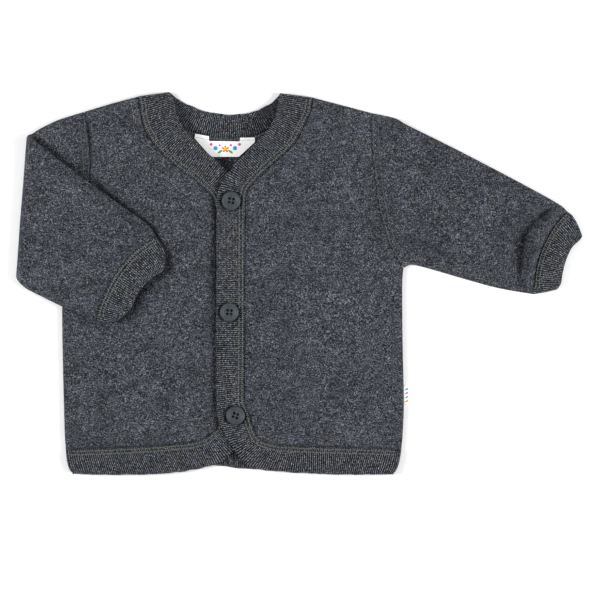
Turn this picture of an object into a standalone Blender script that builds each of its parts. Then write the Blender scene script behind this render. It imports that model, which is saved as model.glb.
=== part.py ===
"""Baby's fleece jacket, buttoned up and laid flat on its back, one sleeve folded over the front.

Run with: blender --background --python part.py
The jacket lies in the XY plane with its neck towards +Y and its back on z = 0. The wearer's left
is at +X. The origin is under the middle of the laid garment. Every length below is in millimetres:
"across" runs from the jacket's centre line towards the wearer's left, "up" from the hem to the
neck, and "z" from the surface that the jacket lies on.
"""

import math
from collections import namedtuple

import bmesh
import bpy
from mathutils import Matrix, Vector

MM = 0.001

# Cloth and how it lies.
FLEECE = 1.8  # wall of the wool fleece
RIB = 2.2  # wall of the rib binding, two layers of knit pressed together
GAP = 0.3  # between pieces that meet at a seam, and between layers that lie on each other
LABEL = 0.8  # a doubled ribbon

# The laid garment.
HALF_CHEST = 127.5
SIDE_HEM = 19.0  # height of the hem seam at the side
CENTRE_ACROSS = 49.4  # middle of the laid garment, from the centre line
CENTRE_UP = 143.7

# Heights of the undersides of what lies on the back.
FRONT_Z = FLEECE + GAP
FRONT_RIB_Z = RIB + GAP
OVERLAP_Z = FRONT_RIB_Z + RIB + GAP  # where the left front lies on the right front's binding
BUTTON_Z = OVERLAP_Z + RIB + GAP
SLEEVE_HEIGHT = 2 * FLEECE + GAP
CUFF_HEIGHT = 2 * RIB + GAP
SLEEVE_REST = 0.1  # a tube's rounded underside lies this far off the surface
FOLD_AXIS_Z = SLEEVE_HEIGHT + GAP / 2  # the sleeve turns over about a line this far up it
CUFF_AXIS_Z = (FRONT_Z + FLEECE + GAP + CUFF_HEIGHT) / 2

# Where the left front climbs onto the right front's binding, and lies down again.
CLIMB_FROM, CLIMB_TO = 13.0, 30.0  # across
CLIMB_LOW, CLIMB_HIGH = 230.0, 262.0  # up
STEP_SHARE = 0.6  # the column that lets a panel step up near its centre edge

# Where the folded forearm sinks, because neither the body nor the upper arm is under it.
DROOP = 3.2
DROOP_FROM, DROOP_TO = HALF_CHEST + 3.0, HALF_CHEST + 16.0  # out from the side
DROOP_BELOW, DROOP_WHOLE = 151.0, 134.0  # down from the upper arm's under edge

# Buttons, four-hole, 14 mm.
BUTTON_RADIUS = 7.1
BUTTON_THICKNESS = 2.4
BUTTON_RIM = 1.3  # width of the raised rim
BUTTON_DISH = 0.5  # depth of the face below the rim
BUTTON_EASE = 0.5  # slopes beside the rim
BUTTON_FOOT = 1.2  # how far the underside is drawn in
BUTTON_SEGMENTS = 32
HOLE_RADIUS = 0.85
HOLE_PITCH = 2.7  # from hole to hole along the square's side
HOLE_SEGMENTS = 10

CHARCOAL = (0.070, 0.075, 0.086, 1.0)
RIB_GREY = (0.066, 0.070, 0.080, 1.0)
SLATE = (0.110, 0.128, 0.142, 1.0)
WHITE = (0.85, 0.85, 0.83, 1.0)

At = namedtuple("At", "across up")
Button = namedtuple("Button", "name across up turn")

# ---- outlines -----------------------------------------------------------------------------------
# Each is a short list of points that a smooth curve runs through.

# Armholes, from the shoulder tip down to the armpit.
LEFT_ARMHOLE = [
    At(103.0, 271.6),
    At(103.5, 247.5),
    At(105.8, 223.0),
    At(108.4, 202.5),
    At(112.1, 186.8),
    At(118.0, 170.0),
    At(127.5, 155.2),
]
RIGHT_ARMHOLE = [
    At(-111.5, 272.6),
    At(-108.3, 250.0),
    At(-107.3, 226.5),
    At(-108.7, 205.0),
    At(-112.5, 187.5),
    At(-118.5, 171.0),
    At(-127.3, 157.5),
]

# Sides, from the armpit down to the hem seam.
LEFT_SIDE = [
    At(127.5, 155.2),
    At(126.6, 142.0),
    At(126.9, 100.0),
    At(127.8, 55.0),
    At(127.0, 32.0),
    At(125.9, SIDE_HEM),
]
RIGHT_SIDE = [
    At(-127.3, 157.5),
    At(-128.6, 140.0),
    At(-128.4, 100.0),
    At(-127.3, 52.0),
    At(-126.7, 32.0),
    At(-125.9, SIDE_HEM),
]

# Shoulders, from the tip to the edge of the neck binding.
LEFT_SHOULDER = [At(103.0, 271.6), At(81.0, 277.4), At(59.0, 283.2)]
RIGHT_SHOULDER = [At(-111.5, 272.6), At(-91.0, 278.8), At(-71.0, 284.1)]

# Fleece edge of each front: round the neck, down the centre, round the hem corner.
LEFT_NECK = [
    At(59.0, 283.2),
    At(58.1, 275.0),
    At(55.1, 267.0),
    At(49.9, 257.2),
    At(45.4, 249.0),
    At(37.9, 241.1),
    At(28.1, 232.5),
    At(18.0, 222.7),
    At(11.6, 215.2),
    At(8.6, 204.0),
]
LEFT_CENTRE = [At(8.6, 204.0), At(8.3, 150.0), At(8.2, 100.0), At(7.8, 55.0)]
LEFT_CORNER = [
    At(7.8, 55.0),
    At(11.6, 45.0),
    At(14.4, 36.0),
    At(18.4, 28.0),
    At(24.6, 24.4),
    At(33.4, 22.2),
]
LEFT_HEM = [At(33.4, 22.2), At(60.0, 21.2), At(95.0, 20.1), At(125.9, SIDE_HEM)]

RIGHT_NECK = [
    At(-71.0, 284.1),
    At(-69.4, 272.2),
    At(-66.8, 261.0),
    At(-60.4, 249.4),
    At(-50.6, 238.5),
    At(-40.9, 229.9),
    At(-31.1, 223.1),
    At(-22.9, 216.0),
    At(-15.4, 208.5),
    At(-12.6, 200.0),
]
RIGHT_CENTRE = [At(-12.6, 200.0), At(-11.6, 150.0), At(-10.4, 100.0), At(-9.4, 52.0)]
RIGHT_CORNER = [
    At(-9.4, 52.0),
    At(-10.0, 42.0),
    At(-12.1, 34.7),
    At(-16.9, 30.8),
    At(-22.1, 27.0),
    At(-32.6, 24.2),
]
RIGHT_HEM = [At(-32.6, 24.2), At(-60.0, 21.6), At(-96.0, 19.9), At(-125.9, SIDE_HEM)]

# Finished edge of the binding, row for row with the fleece edges above.
LEFT_NECK_EDGE = [
    At(34.9, 286.4),
    At(32.2, 278.0),
    At(27.8, 268.6),
    At(21.8, 257.4),
    At(15.4, 247.5),
    At(8.0, 239.0),
    At(0.5, 231.6),
    At(-7.0, 223.5),
    At(-11.4, 214.8),
    At(-12.8, 204.0),
]
LEFT_CENTRE_EDGE = [At(-12.8, 204.0), At(-12.8, 150.0), At(-12.9, 100.0), At(-12.9, 52.0)]
LEFT_CORNER_EDGE = [
    At(-12.9, 52.0),
    At(-11.2, 40.6),
    At(-7.6, 32.8),
    At(1.0, 18.0),
    At(9.6, 7.9),
    At(24.0, 3.2),
]
LEFT_HEM_EDGE = [At(24.0, 3.2), At(60.0, 0.8), At(90.0, 0.2), At(120.0, 0.5)]

RIGHT_NECK_EDGE = [
    At(-48.3, 287.3),
    At(-44.6, 279.6),
    At(-42.4, 270.8),
    At(-39.2, 262.4),
    At(-33.8, 256.4),
    At(-26.4, 248.8),
    At(-18.6, 241.0),
    At(-9.4, 232.6),
    At(3.0, 221.0),
    At(8.4, 202.0),
]
RIGHT_CENTRE_EDGE = [At(8.4, 202.0), At(9.4, 150.0), At(10.6, 100.0), At(11.2, 50.0)]
RIGHT_CORNER_EDGE = [
    At(11.2, 50.0),
    At(9.6, 36.0),
    At(5.4, 24.4),
    At(-2.4, 14.6),
    At(-11.0, 7.6),
    At(-22.6, 4.6),
]
RIGHT_HEM_EDGE = [At(-22.6, 4.6), At(-55.0, 1.2), At(-90.0, 0.1), At(-120.4, 0.8)]

# The binding behind the neck, and the back's own hem.
BACK_NECK = [
    At(-71.0, 284.1),
    At(-57.5, 272.2),
    At(-41.6, 261.4),
    At(-22.1, 254.9),
    At(-2.6, 252.9),
    At(16.9, 255.2),
    At(35.6, 264.4),
    At(49.5, 274.6),
    At(59.0, 283.2),
]
BACK_NECK_EDGE = [
    At(-48.3, 287.3),
    At(-40.5, 281.6),
    At(-30.0, 276.2),
    At(-17.6, 272.2),
    At(-2.6, 270.4),
    At(12.4, 272.2),
    At(22.0, 275.8),
    At(30.0, 280.8),
    At(34.9, 286.4),
]
BACK_HEM = [
    At(-125.9, SIDE_HEM),
    At(-60.0, 21.0),
    At(0.0, 22.0),
    At(60.0, 21.0),
    At(125.9, SIDE_HEM),
]
BACK_HEM_EDGE = [
    At(-120.4, 1.2),
    At(-70.0, 1.0),
    At(-30.0, 3.6),
    At(-16.9, 7.1),
    At(3.8, 5.0),
    At(30.0, 3.6),
    At(70.0, 1.2),
    At(120.0, 0.9),
]

# Ends of the hem binding at the sides, from the seam down to the rounded corner.
LEFT_HEM_END = [At(125.9, SIDE_HEM), At(124.5, 10.5), At(122.6, 4.6), At(120.0, 0.5)]
RIGHT_HEM_END = [At(-125.9, SIDE_HEM), At(-124.9, 10.5), At(-123.2, 4.6), At(-120.4, 0.8)]

# Left sleeve, laid straight: its upper and under edges from the armhole to the cuff seam.
LEFT_SLEEVE_UPPER = [
    At(103.4, 271.5),
    At(121.3, 267.6),
    At(131.3, 262.1),
    At(169.9, 242.9),
    At(219.0, 217.2),
    At(243.9, 203.3),
    At(250.9, 197.3),
]
LEFT_SLEEVE_UNDER = [
    At(127.8, 155.4),
    At(130.4, 156.8),
    At(134.5, 157.7),
    At(146.0, 155.0),
    At(169.9, 148.1),
    At(198.4, 140.3),
    At(224.9, 135.6),
]
LEFT_CUFF_SEAM = [
    At(250.9, 197.3),
    At(245.6, 193.4),
    At(239.5, 185.7),
    At(235.1, 178.5),
    At(230.2, 168.1),
    At(226.4, 154.5),
    At(225.2, 142.2),
    At(224.9, 135.6),
]
LEFT_CUFF_OPENING = [
    At(261.8, 179.2),
    At(259.3, 175.8),
    At(254.9, 171.9),
    At(252.2, 167.6),
    At(248.9, 159.6),
    At(246.7, 150.5),
    At(245.6, 143.6),
    At(242.8, 139.2),
]
LEFT_CUFF_UPPER = [At(250.9, 197.3), At(254.4, 194.5), At(258.6, 187.5), At(261.8, 179.2)]
LEFT_CUFF_UNDER = [At(224.9, 135.6), At(234.6, 137.2), At(242.8, 139.2)]

# Right sleeve: the upper arm lies straight, the sleeve folds back at the elbow about the fold
# line, and the forearm comes back over it. Edges run from the armhole on.
FOLD_TOP = At(-155.0, 253.4)
FOLD_MIDDLE = At(-159.4, 210.0)
FOLD_LOW = At(-163.6, 150.5)  # where the upper arm's under edge turns over
FOLD_LOW_RETURN = At(-162.8, 142.6)  # where the forearm starts back
UPPER_ARM_TOP = [At(-111.9, 272.5), At(-131.6, 266.3), At(-144.5, 260.2), At(-154.4, 254.2)]
UPPER_ARM_UNDER = [At(-127.7, 157.7), At(-135.0, 155.4), At(-150.0, 153.0), At(-162.0, 151.0)]
FOREARM_UPPER = [
    At(-151.0, 252.9),
    At(-144.7, 247.3),
    At(-127.4, 233.6),
    At(-110.3, 221.0),
    At(-87.4, 204.3),
    At(-64.9, 188.3),
    At(-57.8, 178.9),
]
FOREARM_UNDER = [
    At(-154.0, 139.0),
    At(-141.9, 132.9),
    At(-129.3, 126.8),
    At(-118.7, 121.9),
    At(-109.3, 117.4),
    At(-102.2, 115.9),
]
RIGHT_CUFF_SEAM = [
    At(-57.8, 178.9),
    At(-64.1, 174.8),
    At(-74.9, 166.7),
    At(-85.0, 155.3),
    At(-91.0, 146.3),
    At(-95.7, 136.8),
    At(-100.4, 125.5),
    At(-102.2, 115.9),
]
RIGHT_CUFF_OPENING = [
    At(-50.8, 159.8),
    At(-52.4, 153.4),
    At(-59.2, 148.7),
    At(-65.6, 143.3),
    At(-72.0, 135.2),
    At(-75.6, 126.6),
    At(-81.0, 120.2),
    At(-87.1, 115.3),
]
RIGHT_CUFF_UPPER = [At(-57.8, 178.9), At(-54.2, 172.5), At(-51.2, 167.0), At(-50.8, 159.8)]
RIGHT_CUFF_UNDER = [At(-102.2, 115.9), At(-95.6, 114.4), At(-87.1, 115.3)]

BUTTONS = [
    Button("button_top", -1.6, 205.6, 10),
    Button("button_middle", -3.0, 122.1, 5),
    Button("button_bottom", 1.6, 44.7, 18),
]

# Neck label: a ribbon whose ends are folded up into the neck seam, so that it hangs as a
# trapezium with a gap between its two ends.
LABEL_OUTLINE = [
    At(-28.6, 254.8),
    At(-28.9, 252.6),
    At(-16.4, 239.0),
    At(3.9, 239.0),
    At(14.6, 249.6),
    At(14.6, 253.0),
    At(5.2, 251.8),
    At(5.2, 250.2),
    At(-18.0, 250.4),
    At(-18.2, 252.2),
]

# Side tab: a short loop of ribbon caught in the left side seam.
TAB_THICK = 1.0
TAB_OUTLINE = [At(128.0, 53.0), At(131.9, 53.0), At(131.9, 66.5), At(128.0, 66.5)]


# ---- curves and patches in the plane ------------------------------------------------------------

CURVE_STEPS = 12  # between two rows of a table, before the curve is spaced evenly


def through(table, runs):
    """runs + 1 evenly spaced points along a smooth curve through the table's points."""
    knots = [Vector((row.across, row.up)) for row in table]
    ends = [2 * knots[0] - knots[1], *knots, 2 * knots[-1] - knots[-2]]
    dense = [knots[0]]
    for before, start, stop, after in zip(ends, ends[1:], ends[2:], ends[3:]):
        for step in range(1, CURVE_STEPS + 1):
            t = step / CURVE_STEPS
            bend = (2 * before - 5 * start + 4 * stop - after) * t * t
            twist = (3 * start - before - 3 * stop + after) * t * t * t
            dense.append(start + ((stop - before) * t + bend + twist) / 2)
    return evenly(dense, runs)


def evenly(points, runs):
    """runs + 1 points spaced evenly along a chain of points."""
    lengths = [0.0]
    for first, second in zip(points, points[1:]):
        lengths.append(lengths[-1] + (second - first).length)
    spaced = []
    span = 0
    for step in range(runs + 1):
        wanted = lengths[-1] * step / runs
        while span < len(points) - 2 and lengths[span + 1] < wanted:
            span += 1
        share = (wanted - lengths[span]) / (lengths[span + 1] - lengths[span])
        spaced.append(points[span].lerp(points[span + 1], min(share, 1.0)))
    return spaced


def joined(*curves):
    points = list(curves[0])
    for curve in curves[1:]:
        points.extend(curve[1:])
    return points


def short_last_run(points):
    """Splits the last run, so that a panel can step up near its edge."""
    return [*points[:-1], points[-2].lerp(points[-1], STEP_SHARE), points[-1]]


def shares(one, other):
    """How far along each point lies, from 0 to 1, averaged over two curves."""
    totals = []
    for curve in (one, other):
        run = [0.0]
        for first, second in zip(curve, curve[1:]):
            run.append(run[-1] + (second - first).length)
        totals.append([length / run[-1] for length in run])
    return [(a + b) / 2 for a, b in zip(*totals)]


def patch(first, last, start, end):
    """Rows of points filling the four curves: first and last are rows, start and end their ends."""
    down = shares(start, end)
    along = shares(first, last)
    rows = []
    for i, u in enumerate(down):
        row = []
        for j, v in enumerate(along):
            between_rows = first[j].lerp(last[j], u)
            between_ends = start[i].lerp(end[i], v)
            corners = first[0].lerp(first[-1], v).lerp(last[0].lerp(last[-1], v), u)
            row.append(between_rows + between_ends - corners)
        rows.append(row)
    return rows


def pulled_in(curve, start=GAP / 2, end=GAP / 2):
    """The curve with its two ends drawn back, which opens the gap to the next piece."""
    points = list(curve)
    points[0] = points[0] + (points[1] - points[0]).normalized() * start
    points[-1] = points[-1] + (points[-2] - points[-1]).normalized() * end
    return points


def moved_towards(curve, goals, distance):
    return [point + (goal - point).normalized() * distance for point, goal in zip(curve, goals)]


def moved_beside(curve, distance):
    """The curve moved square to itself: to its left as it runs, or right for a negative distance."""
    moved = []
    for i, point in enumerate(curve):
        run = curve[min(i + 1, len(curve) - 1)] - curve[max(i - 1, 0)]
        moved.append(point + Vector((-run.y, run.x)).normalized() * distance)
    return moved


# ---- heights -------------------------------------------------------------------------------------


def smooth_step(value, low, high):
    share = min(max((value - low) / (high - low), 0.0), 1.0)
    return share * share * (3 - 2 * share)


def overlap(point):
    """1 where the left front lies on the right front's binding, 0 well away from it."""
    beside = 1 - smooth_step(point.x, CLIMB_FROM, CLIMB_TO)
    below_neck = 1 - smooth_step(point.y, CLIMB_LOW, CLIMB_HIGH)
    return beside * below_neck


def left_front_height(clear):
    """Height of a left front piece: clear of the overlap it lies at this height."""
    return lambda point: clear + (OVERLAP_Z - clear) * overlap(point)


def forearm_droop(point):
    """How far the folded forearm sinks where neither the body nor the upper arm is under it."""
    beyond_body = smooth_step(-point.x, DROOP_FROM, DROOP_TO)
    below_arm = smooth_step(-point.y, -DROOP_BELOW, -DROOP_WHOLE)
    return DROOP * beyond_body * below_arm


# ---- from points to solids -----------------------------------------------------------------------

SHARP_DEGREES = 40  # an edge that turns by more than this stays crisp
EDGE_ANGLES = (45, 0, -45)  # points round a tube's edge, in degrees above the middle
END_RUNS = 3  # runs across the end of a strip of binding


def placed(point, height):
    return Vector((point.x - CENTRE_ACROSS, point.y - CENTRE_UP, height)) * MM


def collection(name, hidden=False):
    made = bpy.data.collections.new(name)
    made.hide_render = hidden
    bpy.context.scene.collection.children.link(made)
    return made


def material(name, colour, roughness):
    made = bpy.data.materials.new(name)
    made.use_nodes = True
    shader = made.node_tree.nodes["Principled BSDF"]
    shader.inputs["Base Color"].default_value = colour
    shader.inputs["Roughness"].default_value = roughness
    shader.inputs["Metallic"].default_value = 0.0
    made.diffuse_color = colour
    return made


def object_from(bm, name, finish, home):
    mesh = bpy.data.meshes.new(name)
    bm.to_mesh(mesh)
    bm.free()
    mesh.shade_smooth()
    mesh.set_sharp_from_angle(angle=math.radians(SHARP_DEGREES))
    mesh.materials.append(finish)
    made = bpy.data.objects.new(name, mesh)
    home.objects.link(made)
    return made


def net(rows, closed):
    """An open surface through rows of points in space; closed joins each row's end to its start."""
    bm = bmesh.new()
    verts = [[bm.verts.new(point) for point in row] for row in rows]
    for near, far in zip(verts, verts[1:]):
        last = len(near) if closed else len(near) - 1
        for i in range(last):
            j = (i + 1) % len(near)
            bm.faces.new((near[i], near[j], far[j], far[i]))
    return bm


def thickened(made, wall):
    shell = made.modifiers.new("wall", "SOLIDIFY")
    shell.thickness = wall * MM
    shell.offset = 0.0
    shell.use_even_offset = True
    return made


def sheet(name, rows, underside, wall, finish, home):
    """A cloth panel: underside is a height, or a function that gives one for each point."""
    height = underside if callable(underside) else lambda point: underside
    points = [[placed(point, height(point) + wall / 2) for point in row] for row in rows]
    bm = net(points, closed=False)
    bmesh.ops.recalc_face_normals(bm, faces=bm.faces)
    return thickened(object_from(bm, name, finish, home), wall)


def tube_ring(row, height, inset, lay):
    """A flattened ring in the upright surface over a row: over the top layer and back underneath.

    The outer ring has no inset, the inner one is inset by the wall.
    """
    out_start = (row[0] - row[1]).normalized()
    out_end = (row[-1] - row[-2]).normalized()
    flat = [row[0] - out_start * height / 2, *row[1:-1], row[-1] - out_end * height / 2]
    radius = height / 2 - inset

    def edge(centre, out, angle):
        reach = radius * math.cos(math.radians(angle))
        return lay(centre + out * reach, height / 2 + radius * math.sin(math.radians(angle)))

    ring = [lay(point, height - inset) for point in flat]
    ring += [edge(flat[-1], out_end, angle) for angle in EDGE_ANGLES]
    ring += [lay(point, inset) for point in reversed(flat)]
    ring += [edge(flat[0], out_start, angle) for angle in reversed(EDGE_ANGLES)]
    return ring


def tube(name, laid_rows, height, wall, finish, home):
    """A flattened tube with open ends, lofted through (row, lay) pairs.

    Both skins are lofted, because a thickened surface would splay at ends that are cut slantwise.
    """
    outer = [tube_ring(row, height, 0.0, lay) for row, lay in laid_rows]
    inner = [tube_ring(row, height, wall, lay) for row, lay in laid_rows]
    bm = net([*outer, *reversed(inner), outer[0]], closed=True)
    bmesh.ops.remove_doubles(bm, verts=bm.verts, dist=1e-7)
    bmesh.ops.recalc_face_normals(bm, faces=bm.faces)
    return object_from(bm, name, finish, home)


def flat_lay(point, height):
    return placed(point, SLEEVE_REST + height)


def folded_lay(angle, axis_z, droop=None):
    """Places points of a tube that has turned by angle about the fold, radians from 0 to pi."""
    along = Vector((FOLD_LOW.across - FOLD_TOP.across, FOLD_LOW.up - FOLD_TOP.up)).normalized()
    outward = Vector((along.y, -along.x))

    def lay(point, height):
        radius = axis_z - height
        sunk = droop(point) if droop else 0.0
        z = SLEEVE_REST + axis_z - radius * math.cos(angle) - sunk
        return placed(point + outward * radius * math.sin(angle), z)

    return lay


# ---- the pieces ----------------------------------------------------------------------------------

ARMHOLE_RUNS, SIDE_RUNS = 8, 9
NECK_RUNS, CENTRE_RUNS, CORNER_RUNS = 7, 5, 5
SHOULDER_RUNS, BACK_NECK_RUNS, HEM_RUNS = 4, 8, 9
UPPER_ARM_RUNS, FOLD_RUNS, FOREARM_RUNS, SLEEVE_RUNS, CUFF_RUNS = 5, 6, 10, 12, 3


def make_body(fleece, home):
    left_outer = joined(through(LEFT_ARMHOLE, ARMHOLE_RUNS), through(LEFT_SIDE, SIDE_RUNS))
    right_outer = joined(through(RIGHT_ARMHOLE, ARMHOLE_RUNS), through(RIGHT_SIDE, SIDE_RUNS))

    back_top = joined(
        through(RIGHT_SHOULDER, SHOULDER_RUNS),
        through(BACK_NECK, BACK_NECK_RUNS),
        through(LEFT_SHOULDER, SHOULDER_RUNS)[::-1],
    )
    back_hem = through(BACK_HEM, len(back_top) - 1)
    sheet("back", patch(back_top, back_hem, right_outer, left_outer), 0.0, FLEECE, fleece, home)

    fronts = (
        ("front_right", RIGHT_SHOULDER, (RIGHT_NECK, RIGHT_CENTRE, RIGHT_CORNER), RIGHT_HEM,
         right_outer),
        ("front_left", LEFT_SHOULDER, (LEFT_NECK, LEFT_CENTRE, LEFT_CORNER), LEFT_HEM,
         left_outer),
    )
    for name, shoulder, (neck, centre, corner), hem, outer in fronts:
        inner = joined(
            through(neck, NECK_RUNS), through(centre, CENTRE_RUNS), through(corner, CORNER_RUNS)
        )
        top = short_last_run(through(shoulder, HEM_RUNS))
        bottom = short_last_run(through(hem, HEM_RUNS)[::-1])
        sheet(
            name,
            patch(top, bottom, outer, inner),
            left_front_height(FRONT_Z) if name == "front_left" else FRONT_Z,
            FLEECE,
            fleece,
            home,
        )


def make_strip(name, seam, edge, ends, underside, rib, home):
    """A stretch of the binding, a gap away from the fleece edge that it binds."""
    start, end = ends
    inner = moved_towards(seam, edge, GAP)
    rows = patch(inner, edge, start(inner[0], edge[0]), end(inner[-1], edge[-1]))
    sheet(name, rows, underside, RIB, rib, home)


def straight(first, last):
    return [first.lerp(last, step / END_RUNS) for step in range(END_RUNS + 1)]


def along_curve(table):
    """An end of a strip that follows a table's curve instead of a straight cut."""

    def run(first, last):
        return [first, *through(table, END_RUNS)[1:-1], last]

    return run


def make_binding(rib, home):
    sides = (
        ("right", RIGHT_NECK, RIGHT_NECK_EDGE, RIGHT_CENTRE, RIGHT_CENTRE_EDGE,
         RIGHT_CORNER, RIGHT_CORNER_EDGE, RIGHT_HEM, RIGHT_HEM_EDGE, RIGHT_HEM_END),
        ("left", LEFT_NECK, LEFT_NECK_EDGE, LEFT_CENTRE, LEFT_CENTRE_EDGE,
         LEFT_CORNER, LEFT_CORNER_EDGE, LEFT_HEM, LEFT_HEM_EDGE, LEFT_HEM_END),
    )
    for side, neck, neck_edge, centre, centre_edge, corner, corner_edge, hem, hem_edge, end in sides:
        underside = left_front_height(FRONT_RIB_Z) if side == "left" else FRONT_RIB_Z
        make_strip(
            f"neck_band_{side}",
            pulled_in(through(neck, NECK_RUNS)),
            pulled_in(through(neck_edge, NECK_RUNS)),
            (straight, straight),
            underside,
            rib,
            home,
        )
        make_strip(
            f"front_band_{side}",
            pulled_in(joined(through(centre, CENTRE_RUNS), through(corner, CORNER_RUNS))),
            pulled_in(joined(through(centre_edge, CENTRE_RUNS), through(corner_edge, CORNER_RUNS))),
            (straight, straight),
            underside,
            rib,
            home,
        )
        make_strip(
            f"hem_band_{side}",
            pulled_in(through(hem, HEM_RUNS), end=0.0),
            pulled_in(through(hem_edge, HEM_RUNS), end=0.0),
            (straight, along_curve(end)),
            underside,
            rib,
            home,
        )
    make_strip(
        "neck_band_back",
        through(BACK_NECK, BACK_NECK_RUNS),
        through(BACK_NECK_EDGE, BACK_NECK_RUNS),
        (straight, straight),
        0.0,
        rib,
        home,
    )
    back_runs = 2 * SHOULDER_RUNS + BACK_NECK_RUNS
    make_strip(
        "hem_band_back",
        through(BACK_HEM, back_runs),
        through(BACK_HEM_EDGE, back_runs),
        (along_curve(RIGHT_HEM_END), along_curve(LEFT_HEM_END)),
        0.0,
        rib,
        home,
    )


def make_left_sleeve(fleece, rib, home):
    armhole = moved_beside(through(LEFT_ARMHOLE, ARMHOLE_RUNS), GAP)
    seam = through(LEFT_CUFF_SEAM, ARMHOLE_RUNS)
    opening = through(LEFT_CUFF_OPENING, ARMHOLE_RUNS)
    rows = patch(armhole, seam, through(LEFT_SLEEVE_UPPER, SLEEVE_RUNS),
                 through(LEFT_SLEEVE_UNDER, SLEEVE_RUNS))
    laid = [(row, flat_lay) for row in rows]
    tube("sleeve_left", laid, SLEEVE_HEIGHT, FLEECE, fleece, home)

    start = moved_towards(seam, opening, GAP)
    rows = patch(start, opening, through(LEFT_CUFF_UPPER, CUFF_RUNS),
                 through(LEFT_CUFF_UNDER, CUFF_RUNS))
    laid = [(row, flat_lay) for row in rows]
    tube("cuff_left", laid, CUFF_HEIGHT, RIB, rib, home)


def make_right_sleeve(fleece, rib, home):
    armhole = moved_beside(through(RIGHT_ARMHOLE, ARMHOLE_RUNS), -GAP)
    seam = through(RIGHT_CUFF_SEAM, ARMHOLE_RUNS)
    opening = through(RIGHT_CUFF_OPENING, ARMHOLE_RUNS)

    reach = Vector((FOLD_AXIS_Z, 0.0))  # the fold's outermost point is this far from its axis
    out_row = [p + reach for p in through([FOLD_TOP, FOLD_MIDDLE, FOLD_LOW], ARMHOLE_RUNS)]
    back_row = [p + reach for p in through([FOLD_TOP, FOLD_MIDDLE, FOLD_LOW_RETURN], ARMHOLE_RUNS)]

    upper_top = through(UPPER_ARM_TOP, UPPER_ARM_RUNS)
    upper_top[-1] = out_row[0]
    upper_under = through(UPPER_ARM_UNDER, UPPER_ARM_RUNS)
    upper_under[-1] = out_row[-1]
    lay = folded_lay(0.0, FOLD_AXIS_Z)
    laid = [(row, lay) for row in patch(armhole, out_row, upper_top, upper_under)]
    for step in range(1, FOLD_RUNS):
        share = step / FOLD_RUNS
        row = [first.lerp(last, share) for first, last in zip(out_row, back_row)]
        laid.append((row, folded_lay(math.pi * share, FOLD_AXIS_Z)))
    fore_upper = through([At(*back_row[0]), *FOREARM_UPPER], FOREARM_RUNS)
    fore_under = through([At(*back_row[-1]), *FOREARM_UNDER], FOREARM_RUNS)
    lay = folded_lay(math.pi, FOLD_AXIS_Z, forearm_droop)
    laid += [(row, lay) for row in patch(back_row, seam, fore_upper, fore_under)]
    tube("sleeve_right", laid, SLEEVE_HEIGHT, FLEECE, fleece, home)

    start = moved_towards(seam, opening, GAP)
    rows = patch(start, opening, through(RIGHT_CUFF_UPPER, CUFF_RUNS),
                 through(RIGHT_CUFF_UNDER, CUFF_RUNS))
    laid = [(row, folded_lay(math.pi, CUFF_AXIS_Z)) for row in rows]
    tube("cuff_right", laid, CUFF_HEIGHT, RIB, rib, home)


def turned(name, profile, finish, home):
    """A turned solid from (radius, height) points that run down its outer side."""
    bm = bmesh.new()
    verts = [bm.verts.new((radius * MM, 0.0, height * MM)) for radius, height in profile]
    for first, second in zip(verts, verts[1:]):
        bm.edges.new((first, second))
    made = object_from(bm, name, finish, home)
    screw = made.modifiers.new("turn", "SCREW")
    screw.steps = screw.render_steps = BUTTON_SEGMENTS
    screw.use_merge_vertices = True
    screw.merge_threshold = 0.00001
    screw.use_normal_calculate = True
    return made


def make_buttons(plastic, home, cutters):
    face = BUTTON_THICKNESS - BUTTON_DISH
    profile = [
        (0.0, face),
        (BUTTON_RADIUS - BUTTON_RIM - BUTTON_EASE, face),
        (BUTTON_RADIUS - BUTTON_RIM, BUTTON_THICKNESS),
        (BUTTON_RADIUS - BUTTON_EASE, BUTTON_THICKNESS),
        (BUTTON_RADIUS, BUTTON_THICKNESS - BUTTON_EASE),
        (BUTTON_RADIUS, BUTTON_THICKNESS / 3),
        (BUTTON_RADIUS - BUTTON_FOOT, 0.0),
        (0.0, 0.0),
    ]
    for button in BUTTONS:
        disc = turned(button.name, profile, plastic, home)
        centre = placed(Vector((button.across, button.up)), BUTTON_Z)
        disc.matrix_world = Matrix.Translation(centre)
        bm = bmesh.new()
        for side_x in (-1, 1):
            for side_y in (-1, 1):
                spot = Vector((side_x, side_y, 0)) * HOLE_PITCH / 2
                spot.rotate(Matrix.Rotation(math.radians(-button.turn), 3, "Z"))
                spot.z = BUTTON_THICKNESS / 2
                bmesh.ops.create_cone(
                    bm,
                    cap_ends=True,
                    segments=HOLE_SEGMENTS,
                    radius1=HOLE_RADIUS * MM,
                    radius2=HOLE_RADIUS * MM,
                    depth=2 * BUTTON_THICKNESS * MM,
                    matrix=Matrix.Translation(spot * MM),
                )
        drill = object_from(bm, f"{button.name}_drill", plastic, cutters)
        drill.matrix_world = Matrix.Translation(centre)
        drill.hide_render = True
        drill.display_type = "WIRE"
        holes = disc.modifiers.new("holes", "BOOLEAN")
        holes.operation = "DIFFERENCE"
        holes.solver = "EXACT"
        holes.object = drill


def flat_outline(name, outline, low, thick, finish, home):
    """A flat piece of ribbon: a filled 2D curve of half the thickness each way."""
    curve = bpy.data.curves.new(name, "CURVE")
    curve.dimensions = "2D"
    curve.fill_mode = "BOTH"
    curve.extrude = thick / 2 * MM
    spline = curve.splines.new("POLY")
    spline.points.add(len(outline) - 1)
    for point, row in zip(spline.points, outline):
        point.co = (*(placed(Vector((row.across, row.up)), 0.0).to_2d()), 0.0, 1.0)
    spline.use_cyclic_u = True
    curve.materials.append(finish)
    made = bpy.data.objects.new(name, curve)
    made.location.z = (low + thick / 2) * MM
    home.objects.link(made)
    return made


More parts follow.
